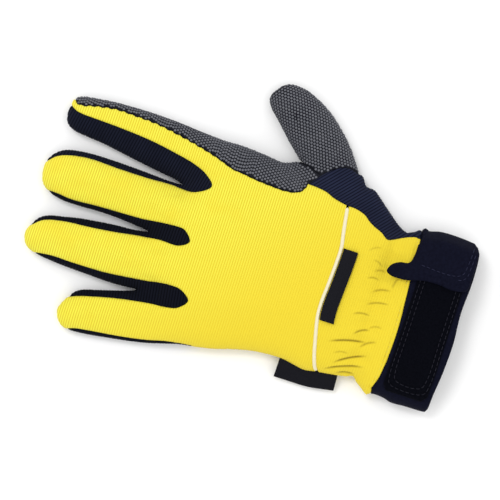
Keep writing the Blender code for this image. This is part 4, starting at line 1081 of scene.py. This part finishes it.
def knit_panels():
    """The yellow and black knit panels."""
    back = [reverse(SEAMS["piping"]), rim("piping_little", "strip_root"), SEAMS["strip"],
            rim("strip_tip", "little_thumb"), SEAMS["little_ring"], rim("ring_little", "ring_thumb"),
            SEAMS["ring_middle"], rim("middle_little", "middle_thumb"), SEAMS["middle_index"],
            rim("index_little", "index_thumb"), SEAMS["palm"], SEAMS["gusset"]]
    panel("back_panel", back, LOOKS["yellow"], YELLOW_WEAVE, YELLOW_RIB_DEPTH)
    wrist = [SEAMS["piping"], SEAMS["wrist"], SEAMS["hem"], rim("hem_little", "piping_little")]
    panel("wrist_panel", wrist, LOOKS["yellow"], WRIST_WEAVE, YELLOW_RIB_DEPTH,
          marks=crease_shade_marks, extra=hem_folds)
    sides = (("little_side_strip", rim("strip_root", "strip_tip"), "strip", LITTLE_WEAVE),
             ("fourchette_little_ring", rim("little_thumb", "ring_little"), "little_ring", LITTLE_WEAVE),
             ("fourchette_ring_middle", rim("ring_thumb", "middle_little"), "ring_middle", MIDDLE_WEAVE),
             ("fourchette_middle_index", rim("middle_thumb", "index_little"), "middle_index", INDEX_WEAVE))
    for name, edge, line, weave in sides:
        panel(name, [edge, reverse(SEAMS[line])], LOOKS[weave], weave, BLACK_RIB_DEPTH)
    gusset = [rim("gusset_thumb", "hem_thumb"), SEAMS["hem_gusset"], reverse(SEAMS["wrist"]),
              reverse(SEAMS["gusset"]), reverse(SEAMS["palm_foot"]), reverse(SEAMS["thumb_base"])]
    panel("wrist_gusset", gusset, LOOKS[GUSSET_WEAVE], GUSSET_WEAVE, BLACK_RIB_DEPTH)


def fabric_face(layer):
    """The plated fabric's own face, a little below its plates."""
    return roll(layer.from_seam) - PLATE_BED + soft_waves(layer.plan, *FABRIC_WAVES)


def plated(name, sheets):
    cloth(name + "_cloth", sheets, LOOKS["grey"], GREY_WEAVE, fabric_face, -PALM_THICKNESS, [name])


def thumb_back():
    """The grey fabric over the back of the thumb. Gives back its loop."""
    loop, on_rim = drawn_in([rim("thumb_web", "gusset_thumb"), SEAMS["thumb_base"], SEAMS["thumb_web"]])
    seams = [SEAMS["thumb_base"].points, SEAMS["thumb_web"].points]
    plated("thumb_back", [upper_sheet(loop, seams)] + [tuck(part) for part in on_rim])
    return loop


def palm():
    """The grey palm, with the strip that it turns up beside the index finger. Gives back both loops."""
    strip, on_rim = drawn_in([rim("index_thumb", "thumb_web"), reverse(SEAMS["thumb_web"]),
                              SEAMS["palm_foot"], reverse(SEAMS["palm"])])
    turned_up = on_rim[0]
    seam_depth = SEAM_TUCK + PANEL_GAP
    before = inset(rim_part("hem_little", "index_thumb")[:-1], seam_depth)
    after = inset(rim_part("thumb_web", "hem_thumb")[1:], seam_depth)
    turn_in = inset(turned_up, seam_depth)
    thumb_end = divided(under_mark("hem_thumb"), hand_point(*HEM_GUSSET_END))
    hem = np.vstack([thumb_end, SEAMS["hem"].points[1:-2]])
    for end, reach in ((after[-1:], 1e-4), (before[:1], FINE)):
        hem = hem[nearest(hem, end.repeat(2, 0)) >= reach]
    seams = [SEAMS["thumb_web"].points, SEAMS["palm_foot"].points, SEAMS["palm"].points]
    under = np.vstack([before, turn_in[:1], turned_up, turn_in[-1:], after, hem[1:] + [0, PANEL_GAP]])
    plated("palm_panel", [upper_sheet(strip, seams), lower_sheet(under, [before, after])])
    return strip, under


# Camera, light and floor
WORLD_LEVEL = 1.02
FLOOR_LEVEL = -0.0004
FLOOR_REACH = 3
# Name, place to the picture's right and up from its centre, height, size and power
LIGHTS = (("key", -0.40, 0.50, 1.3, 0.40, 5.0), ("fill", 0.7, -0.3, 1.2, 1.2, 1.5))


def place_camera(scene):
    """The camera straight above the glove."""
    camera = bpy.data.objects.new("camera", bpy.data.cameras.new("camera"))
    scene.collection.objects.link(camera)
    camera.location = (*VIEW_CENTRE, VIEW_HEIGHT)
    camera.rotation_euler = (0, 0, VIEW_TURN)
    camera.data.sensor_width = SENSOR
    camera.data.lens = SENSOR * (VIEW_HEIGHT - FOCUS_LEVEL) / VIEW_WIDTH
    scene.camera = camera
    scene.view_settings.view_transform = "Standard"


def light_studio(scene):
    """A white surround and two soft lights."""
    world = bpy.data.worlds.new("studio")
    world.use_nodes = True
    world.node_tree.nodes["Background"].inputs[0].default_value = (1, 1, 1, 1)
    world.node_tree.nodes["Background"].inputs[1].default_value = WORLD_LEVEL
    scene.world = world
    cos, sin = math.cos(VIEW_TURN), math.sin(VIEW_TURN)
    for name, side, up, height, size, power in LIGHTS:
        light = bpy.data.lights.new(name, "AREA")
        light.size = size
        light.energy = power
        item = bpy.data.objects.new(name, light)
        item.location = (VIEW_CENTRE[0] + side * cos - up * sin,
                         VIEW_CENTRE[1] + side * sin + up * cos, height)
        item.rotation_euler = (Vector((*VIEW_CENTRE, 0)) - item.location).to_track_quat("-Z", "Y").to_euler()
        scene.collection.objects.link(item)


def lay_floor(scene):
    """The pale floor under the glove."""
    mesh = bpy.data.meshes.new("floor")
    far = FLOOR_REACH
    corners = [(x, y, FLOOR_LEVEL) for x, y in ((-far, -far), (far, -far), (far, far), (-far, far))]
    mesh.from_pydata(corners, [], [(0, 1, 2, 3)])
    made, _, shader = new_material("floor")
    shader.inputs["Base Color"].default_value = (0.93, 0.93, 0.93, 1)
    shader.inputs["Roughness"].default_value = 0.9
    shader.inputs["Specular IOR Level"].default_value = 0.0
    mesh.materials.append(made)
    floor = bpy.data.objects.new("floor", mesh)
    scene.collection.objects.link(floor)


# Rings of points, for plates, cords and threads
def rings_round(centres, radii, first, second, sides):
    """A ring of points round each centre, in the plane of its two directions."""
    angles = 2 * math.pi * np.arange(sides) / sides
    return centres[:, None] + radii * (np.cos(angles)[None, :, None] * first[:, None]
                                       + np.sin(angles)[None, :, None] * second[:, None])


def band_faces(sides, bands, start=0):
    """The faces between rings that follow one another."""
    return [(start + band * sides + i, start + band * sides + (i + 1) % sides,
             start + (band + 1) * sides + (i + 1) % sides, start + (band + 1) * sides + i)
            for band in range(bands) for i in range(sides)]


def closed_faces(sides, bands, start=0):
    """The faces between rings, with the first and last ring closed."""
    last = start + bands * sides
    caps = [tuple(start + i for i in reversed(range(sides))), tuple(last + i for i in range(sides))]
    return band_faces(sides, bands, start) + caps


# Plates. The thumb's folds are lines of the hand's frame.
PLATE_SCAN = 0.0001
PLATE_RUN = 8
PLATE_JOIN = 0.002
PALM_REACH = 0.1
THUMB_REACH = 0.03
THUMB_ROWS = range(-20, 45)
THUMB_FOLDS = (((0.0575, -0.0435), (0.0620, -0.0428), (0.0660, -0.0420), (0.0700, -0.0395),
                (0.0740, -0.0365), (0.0790, -0.0325)),
               ((0.0620, -0.0630), (0.0660, -0.0620), (0.0720, -0.0608), (0.0780, -0.0585)))
FOLD_DEPTH = 0.0001
FOLD_WIDTH = 0.0008


def runs(flags):
    """The first and last place of each unbroken run of true flags."""
    steps = np.diff(np.concatenate([[0], flags.astype(int), [0]]))
    return list(zip(np.nonzero(steps == 1)[0], np.nonzero(steps == -1)[0] - 1))


def plate_spots(origin, rowwise, upwards, rows, reach, lower_loop, upper_loop):
    """Where plates sit in staggered rows that are walked over the cloth, and which are below."""
    spots = []
    below = []
    across = np.arange(-reach, reach, PLATE_SCAN)
    for row in rows:
        points = origin + upwards * row * PLATE_ROW + rowwise * across[:, None]
        start = row % 2 / 2 * PLATE_STEP
        last = None
        for face, loop, under in ((lower_face, lower_loop, True), (upper_face, upper_loop, False)):
            if loop is None:
                continue
            for first, end in runs(inside(loop, points)):
                if end - first < PLATE_RUN:
                    continue
                line = points[first:end + 1]
                place, _ = face(line)
                joined = not under and last is not None and np.linalg.norm(line[-1] - last[0]) < PLATE_JOIN
                if joined:
                    line = line[::-1]
                    place = place[::-1]
                length = lengths_along(place)
                if joined:
                    length += last[1]
                else:
                    middle = len(line) // 2
                    length += across[first + middle] - length[middle]
                first_step = math.ceil((length[0] - start) / PLATE_STEP)
                steps = np.arange(first_step, (length[-1] - start) / PLATE_STEP)
                found = along_line(steps * PLATE_STEP + start, length, line)
                spots.append(found)
                below += [under] * len(found)
                if under:
                    last = (line[-1], length[-1])
    return np.vstack(spots), np.array(below)


def along_line(places, lengths, line):
    """Points of a line at places along it."""
    return np.column_stack([np.interp(places, lengths, line[:, 0]), np.interp(places, lengths, line[:, 1])])


def plates(name, spots, below, direction, seams, folds=(), plain=False):
    """Small raised six-sided plates at places of the cloth, sunk along each fold."""
    held = np.ones(len(spots), dtype=bool)
    for line in seams:
        held &= nearest(spots, line) > PLATE_RADIUS
    spots = spots[held]
    below = below[held]
    upper, upper_normals = upper_face(spots)
    lower, lower_normals = lower_face(spots)
    places = np.where(below[:, None], lower, upper)
    normals = np.where(below[:, None], lower_normals, upper_normals)
    for line in folds:
        places = places + normals * groove(spots, line, FOLD_DEPTH, FOLD_WIDTH)[:, None]
    side = np.cross(normals, [*direction, 0.0])
    side /= np.linalg.norm(side, axis=1)[:, None]
    ahead = np.cross(side, normals)
    steps = [(PLATE_RADIUS, -PLATE_FOOT), (0.94 * PLATE_RADIUS, 0.55 * PLATE_HEIGHT - PLATE_BED),
             (0.66 * PLATE_RADIUS, PLATE_HEIGHT - PLATE_BED)]
    if plain:
        del steps[1]
    rings = [rings_round(places + normals * height, radius, ahead, side, 6) for radius, height in steps]
    points = np.concatenate(rings, axis=1).reshape(-1, 3)
    count = len(steps) * 6
    pattern = band_faces(6, len(steps) - 1) + [tuple(count - 6 + i for i in range(6))]
    faces = [tuple(corner + count * plate for corner in face)
             for plate in range(len(spots)) for face in pattern]
    return piece(name, points, faces, LOOKS["plates"], [], sharp=math.radians(40))


def all_plates(thumb_loop, strip_loop, palm_loop):
    """The plates of the palm, of the strip beside the index finger and of the thumb's back."""
    low, high = palm_loop.min(0), palm_loop.max(0)
    rows = range(math.ceil(low[1] / PLATE_ROW), math.floor(high[1] / PLATE_ROW))
    spots, below = plate_spots(np.array([0.0, 0.0]), np.array([1.0, 0.0]), np.array([0.0, 1.0]), rows,
                               PALM_REACH, palm_loop, strip_loop)
    seams = [SEAMS["palm"].points, SEAMS["thumb_web"].points, SEAMS["palm_foot"].points, SEAMS["hem"].points]
    plates("palm_plates", spots[below], below[below], (1.0, 0.0), seams, plain=True)
    plates("index_side_plates", spots[~below], below[~below], (1.0, 0.0), seams)
    tipwards = np.array([math.sin(THUMB_LEAN), math.cos(THUMB_LEAN)])
    sideways = np.array([tipwards[1], -tipwards[0]])
    spots, below = plate_spots(THUMB.base, sideways, tipwards, THUMB_ROWS, THUMB_REACH, None, thumb_loop)
    seams = [SEAMS["thumb_base"].points, SEAMS["thumb_web"].points]
    plates("thumb_plates", spots, below, tuple(sideways), seams, [faceted(fold) for fold in THUMB_FOLDS])


# Stitched lines. Two go along the loop patch's long edges and round its end, and two round the strap's face,
# from points of the hand's frame.
PATCH_RUNS = ((0.0030, 0.165, 0.845), (0.0055, 0.235, 0.775))
PATCH_RUN_END = 0.012
STRAP_ROWS = (((0.0242, -0.1185), (0.0240, -0.124), (0.0236, -0.130), (0.0238, -0.136), (0.0248, -0.1400),
               (0.0268, -0.1421), (0.0300, -0.1428), (0.0350, -0.1434), (0.0400, -0.1438)),
              ((0.0222, -0.1390), (0.0234, -0.1424), (0.0258, -0.1442), (0.0300, -0.1447), (0.0350, -0.1451),
               (0.0388, -0.1454)))


def patch_row(margin, near, far):
    """One line of stitches from the patch's thumb side round its end and back."""
    left = cuff_point(PATCH_START, 0)[0] + margin
    right = cuff_point(PATCH_START, 0)[0] + PATCH_LENGTH - PATCH_RUN_END
    middle = (left + right) / 2
    near, far = cuff_point(0, near)[1], cuff_point(0, far)[1]
    return faceted([(right, near), (middle, near), (left + 0.006, near), (left + 0.0015, near - 0.0012),
                    (left, near - 0.005), (left, far + 0.005), (left + 0.0015, far + 0.0012),
                    (left + 0.006, far), (middle, far), (right, far)])


PATCH_STITCHES = [patch_row(*run) for run in PATCH_RUNS]
STRAP_STITCHES = [faceted(row) for row in STRAP_ROWS]

# Cuff, patch and strap
CUFF_ROLL = (0.0016, 0.0012)
PATCH_ROLL = (0.0008, 0.0006)
STRAP_ROLL = (0.0013, 0.0013)
PATCH_GROOVE = (0.0004, 0.0005)
PATCH_FUZZ = 0.00013
# Depth, width and distance from its line of each groove of the strap's face
STRAP_GROOVES = ((STRAP_STITCHES[0], 0.0005, 0.0006, 0.0), (STRAP_STITCHES[1], 0.0005, 0.0005, 0.0))
STRAP_BAR = (0.0006, 0.0005, 0.0034)
STRAP_STEP = 0.0056


def cuff_band():
    """The neoprene band round the wrist, open at its end."""
    hem = np.vstack([SEAMS["hem_gusset"].points[:-1], SEAMS["hem"].points])
    end = faceted([mark("cuff_end_little")] + [cuff_point(*row) for row in CUFF_END_LINE]
                  + [mark("cuff_end_thumb")])
    loop, _ = drawn_in([Chain(hem[::-1], PANEL_GAP, False), rim("hem_thumb", "cuff_end_thumb"),
                        Chain(end[::-1], 0.0, False), rim("cuff_end_little", "hem_little")])

    def face(layer):
        return roll(layer.from_seam, *CUFF_ROLL) + soft_waves(layer.plan, *CUFF_WAVES)

    cloth("cuff_band_cloth", [upper_sheet(loop, [end]), lower_sheet(loop, [end])], LOOKS["neoprene"],
          CUFF_WEAVE, face, -CUFF_THICKNESS, ["cuff_band"])


def loop_patch():
    """The fuzzy loop patch on the cuff's back."""
    patch = [cuff_point(PATCH_START, down) + np.array([out * PATCH_LENGTH, 0]) for out, down in PATCH_ROWS]
    patch = divided(*patch, patch[0])[:-1]
    border = np.vstack([patch, patch[:1]])

    def face(layer):
        x, y = layer.plan.T
        fuzz = np.sin(x * 9100) * np.sin(y * 8300 + 3 * np.sin(x * 2900))
        stitched = np.zeros(len(layer.plan))
        for line in PATCH_STITCHES:
            stitched = np.minimum(stitched, groove(layer.plan, line, *PATCH_GROOVE))
        return LAYER_GAP + PATCH_THICKNESS + roll(layer.from_seam, *PATCH_ROLL) + PATCH_FUZZ * fuzz + stitched

    cloth("loop_patch_cloth", [upper_sheet(patch, [border])], LOOKS["loops"], PATCH_WEAVE, face, 0.0,
          ["loop_patch"])


def strap_point(strap_end, out, down):
    """A point of the strap's free end."""
    return np.array([strap_end + out * STRAP_LENGTH, cuff_point(0, down)[1]])


def tab_point(strap_end, out, up):
    """A point of the pull tab, above the cuff's upper edge."""
    return np.array([strap_end + out * STRAP_LENGTH, cuff_point(0, 0)[1] + up * TAB_LENGTH])


def closure_strap():
    """The strap that closes over the loop patch, with its pull tab curling up."""
    strap_end = mark("cuff_end_thumb")[0] - STRAP_LENGTH
    free = [strap_point(strap_end, *row) for row in STRAP_FREE_EDGE]
    tab = [tab_point(strap_end, *row) for row in TAB_EDGE]
    side = rim_part("hem_thumb", "strap_corner")
    top = side[0] - np.array([STRAP_SHOULDER, 0])
    corner = [cuff_point(*row) for row in STRAP_CORNER]
    edge = faceted([side[-1]] + corner + free + tab + [top, side[0]])
    loop, on_rim = drawn_in([Chain(side, 0.0, True), Chain(edge, 0.0, False)])
    tucked = inset(on_rim[0], STRAP_UNDER)
    under = lower_sheet(np.vstack([on_rim[0], tucked[::-1]]), [tucked])
    grooves = STRAP_GROOVES + ((faceted(free), *STRAP_BAR),)

    def underside(layer):
        over_patch = smooth(nearest(layer.plan, RIM), STRAP_UNDER, STRAP_STEP)
        return LAYER_GAP + (PATCH_THICKNESS + LAYER_GAP) * over_patch

    def face(layer):
        folds = sum(groove(layer.plan, *row) for row in grooves)
        return underside(layer) + STRAP_THICKNESS + roll(layer.from_seam, *STRAP_ROLL) + folds

    def curl(layer):
        past = (layer.plan[:, 1] - cuff_point(0, 0)[1]) / TAB_LENGTH
        low, high = strap_end + 0.30 * STRAP_LENGTH, strap_end + 0.45 * STRAP_LENGTH
        return TAB_CURL * np.clip(past, 0, 1.2) ** 2 * (1 - smooth(layer.plan[:, 0], low, high))

    cloth("closure_strap_cloth", [upper_sheet(loop, [edge]), under], LOOKS["neoprene"], CUFF_WEAVE, face,
          underside, ["closure_strap"], lift=curl)


# Cords and threads
PIPING_SINK = 0.0001
SEAM_THREAD_RADIUS = 0.00032
SEAM_THREAD_SINK = 0.00045
THREAD_START = 0.001
THREAD_DIPS = np.array([-1.6, 0.3, 0.7, 0.3, -1.6])
HEM_THREAD = Stitch(0.0019, 0.0006, 0.00017)
PATCH_THREAD = Stitch(0.0020, 0.0009, 0.00018)
STRAP_THREAD = Stitch(0.0020, 0.0008, 0.00018)
PATCH_LEVEL = LAYER_GAP + PATCH_THICKNESS
STRAP_LEVEL = PATCH_LEVEL + LAYER_GAP + STRAP_THICKNESS


def tube(name, line, sink, radius, looks, nodes, sides=10):
    """A round cord along a line of the plan, sunk into the upper face, with closed rounded ends."""
    route, normals = upper_face(line)
    route = route - normals * sink
    ahead = directions_along(route)
    side = np.cross(ahead, [0, 0, 1.0])
    side /= np.linalg.norm(side, axis=1)[:, None]
    up = np.cross(side, ahead)
    sizes = np.full(len(route), radius)
    sizes[[0, -1]] *= 0.3
    sizes[[1, -2]] *= 0.8
    points = rings_round(route, sizes[:, None, None], side, up, sides).reshape(-1, 3)
    return piece(name, points, closed_faces(sides, len(route) - 1), looks, nodes)


def stitches(name, lines, stitch, height, looks):
    """Short round threads along lines of the plan, each dipping into the cloth at its ends."""
    points = []
    faces = []
    for line in lines:
        along = lengths_along(line)
        for start in np.arange(THREAD_START, along[-1] - stitch.length, stitch.length + stitch.pause):
            share = np.linspace(start, start + stitch.length, len(THREAD_DIPS))
            place, normal = upper_face(along_line(share, along, line))
            place = place + normal * (height + THREAD_DIPS[:, None] * stitch.radius)
            side = np.cross(normal, directions_along(place))
            faces += closed_faces(6, len(THREAD_DIPS) - 1, len(points))
            points += list(rings_round(place, stitch.radius, side, normal, 6).reshape(-1, 3))
    return piece(name, np.array(points), faces, looks, [])


def threads():
    """The visible stitches, and the thread along the palm's seam."""
    hem = SEAMS["hem"].points
    ahead = directions_along(hem)
    inward = np.column_stack([ahead[:, 1], -ahead[:, 0]])
    hem_line = (hem + inward * HEM_STITCH)[:-8]
    stitches("hem_thread", [hem_line], HEM_THREAD, -0.00042, LOOKS["yellow_thread"])
    stitches("patch_thread", PATCH_STITCHES, PATCH_THREAD, PATCH_LEVEL + 0.0001, LOOKS["patch_thread"])
    stitches("strap_thread", STRAP_STITCHES, STRAP_THREAD, STRAP_LEVEL - 0.0003, LOOKS["strap_thread"])
    tube("palm_seam_thread", SEAMS["palm"].points[2:-2], SEAM_THREAD_SINK, SEAM_THREAD_RADIUS,
         LOOKS["dark_thread"], [], sides=6)


# Labels
SIZE_LABEL_CENTRE = 0.003
LABEL_RIB = 0.00004
LABEL_RIB_PITCH = 0.0012
LABEL_UNDER = 0.0002
SIZE_LABEL_RISE = 0.0004
SIDE_LABEL_FOOT = 0.616
SIDE_LABEL_TUCK = 0.0008
SIDE_LABEL_ROWS = 36
SIDE_LABEL_COLUMNS = 14
SIDE_LABEL_TILT = 0.0030
SIDE_LABEL_SAG = 0.0012
SIDE_LABEL_WAVE = 0.0003


def size_label():
    """The woven label that hangs from the piping."""
    line = SEAMS["piping"].points
    centre = hand_point(SIZE_LABEL_CENTRE, 0)[0]
    count = round(SIZE_LABEL_LENGTH / FINE)
    across = centre + (np.arange(count + 1) / count - 0.5) * SIZE_LABEL_LENGTH
    height = np.interp(across, line[:, 0], line[:, 1]) - PIPING_RADIUS - GAP
    bottom = np.column_stack([across, height - SIZE_LABEL_WIDTH])[::-1]
    top = np.column_stack([across, height])
    corners = np.vstack([top, divided(top[-1], bottom[0])[1:-1], bottom, divided(bottom[-1], top[0])[1:-1]])

    def face(layer):
        sag = np.interp(layer.plan[:, 0], line[:, 0], line[:, 1]) - layer.plan[:, 1]
        rib = LABEL_RIB * np.sin(layer.plan[:, 0] * 2 * math.pi / LABEL_RIB_PITCH)
        return LAYER_GAP + LABEL_THICKNESS + SIZE_LABEL_RISE * smooth(sag, 0.002, 0.006) + rib

    cloth("size_label_cloth", [upper_sheet(corners)], LOOKS["label"], LABEL_WEAVE, face, LABEL_UNDER,
          ["size_label"])


def side_label():
    """The woven label that stands out of the side seam and hangs down from it."""
    low = hand_point(0, SIDE_LABEL_FOOT)[1] - SIDE_LABEL_LENGTH
    seam_side = rim_part("hem_little", "strip_root")
    heights = np.linspace(low, low + SIDE_LABEL_LENGTH, SIDE_LABEL_ROWS)
    inner_x = np.interp(heights, seam_side[:, 1], seam_side[:, 0]) + SIDE_LABEL_TUCK
    outer_x = inner_x.mean() - 0.0009 - SIDE_LABEL_REACH
    columns = SIDE_LABEL_COLUMNS
    spots = []
    for sign in (0.5, -0.5):
        for height, x in zip(heights, inner_x):
            middle = (height - heights[0]) / SIDE_LABEL_LENGTH
            for step in range(columns):
                share = step / (columns - 1)
                z = HAND_DEPTH * EDGE_SHARE * (1 - SIDE_LABEL_DROP * share**1.5)
                z += SIDE_LABEL_WAVE * math.sin(7 * middle) * share
                tilt = SIDE_LABEL_TILT * (1 - smooth(middle, -0.2, 0.55)) * share
                drop = SIDE_LABEL_SAG * (1 - middle) * (0.4 + 0.6 * share)
                edge = 1.0 if 0 < step < columns - 1 and 0 < middle < 1 else 0.5
                spots.append((x + (outer_x - x) * share + tilt, height - drop,
                              z + sign * edge * LABEL_THICKNESS))
    size = len(heights) * columns
    corners = [row * columns + step for row in range(len(heights) - 1) for step in range(columns - 1)]
    faces = [(corner + columns, corner + columns + 1, corner + 1, corner) for corner in corners]
    faces += [tuple(spot + size for spot in reversed(face)) for face in faces]
    border = list(range(columns)) + [row * columns + columns - 1 for row in range(1, len(heights))]
    border += [size - 1 - step for step in range(1, columns)]
    border += [row * columns for row in range(len(heights) - 2, 0, -1)]
    faces += [(a, b, b + size, a + size) for a, b in zip(border, border[1:] + border[:1])]
    piece("side_label_cloth", np.array(spots), faces, LOOKS["label"], ["side_label"])


place_camera(bpy.context.scene)
light_studio(bpy.context.scene)
lay_floor(bpy.context.scene)
knit_panels()
THUMB_LOOP = thumb_back()
all_plates(THUMB_LOOP, *palm())
cuff_band()
loop_patch()
closure_strap()
tube("piping_cord", SEAMS["piping"].points[2:-2], PIPING_SINK, PIPING_RADIUS, LOOKS["piping"],
     ["piping"])
size_label()
side_label()
threads()
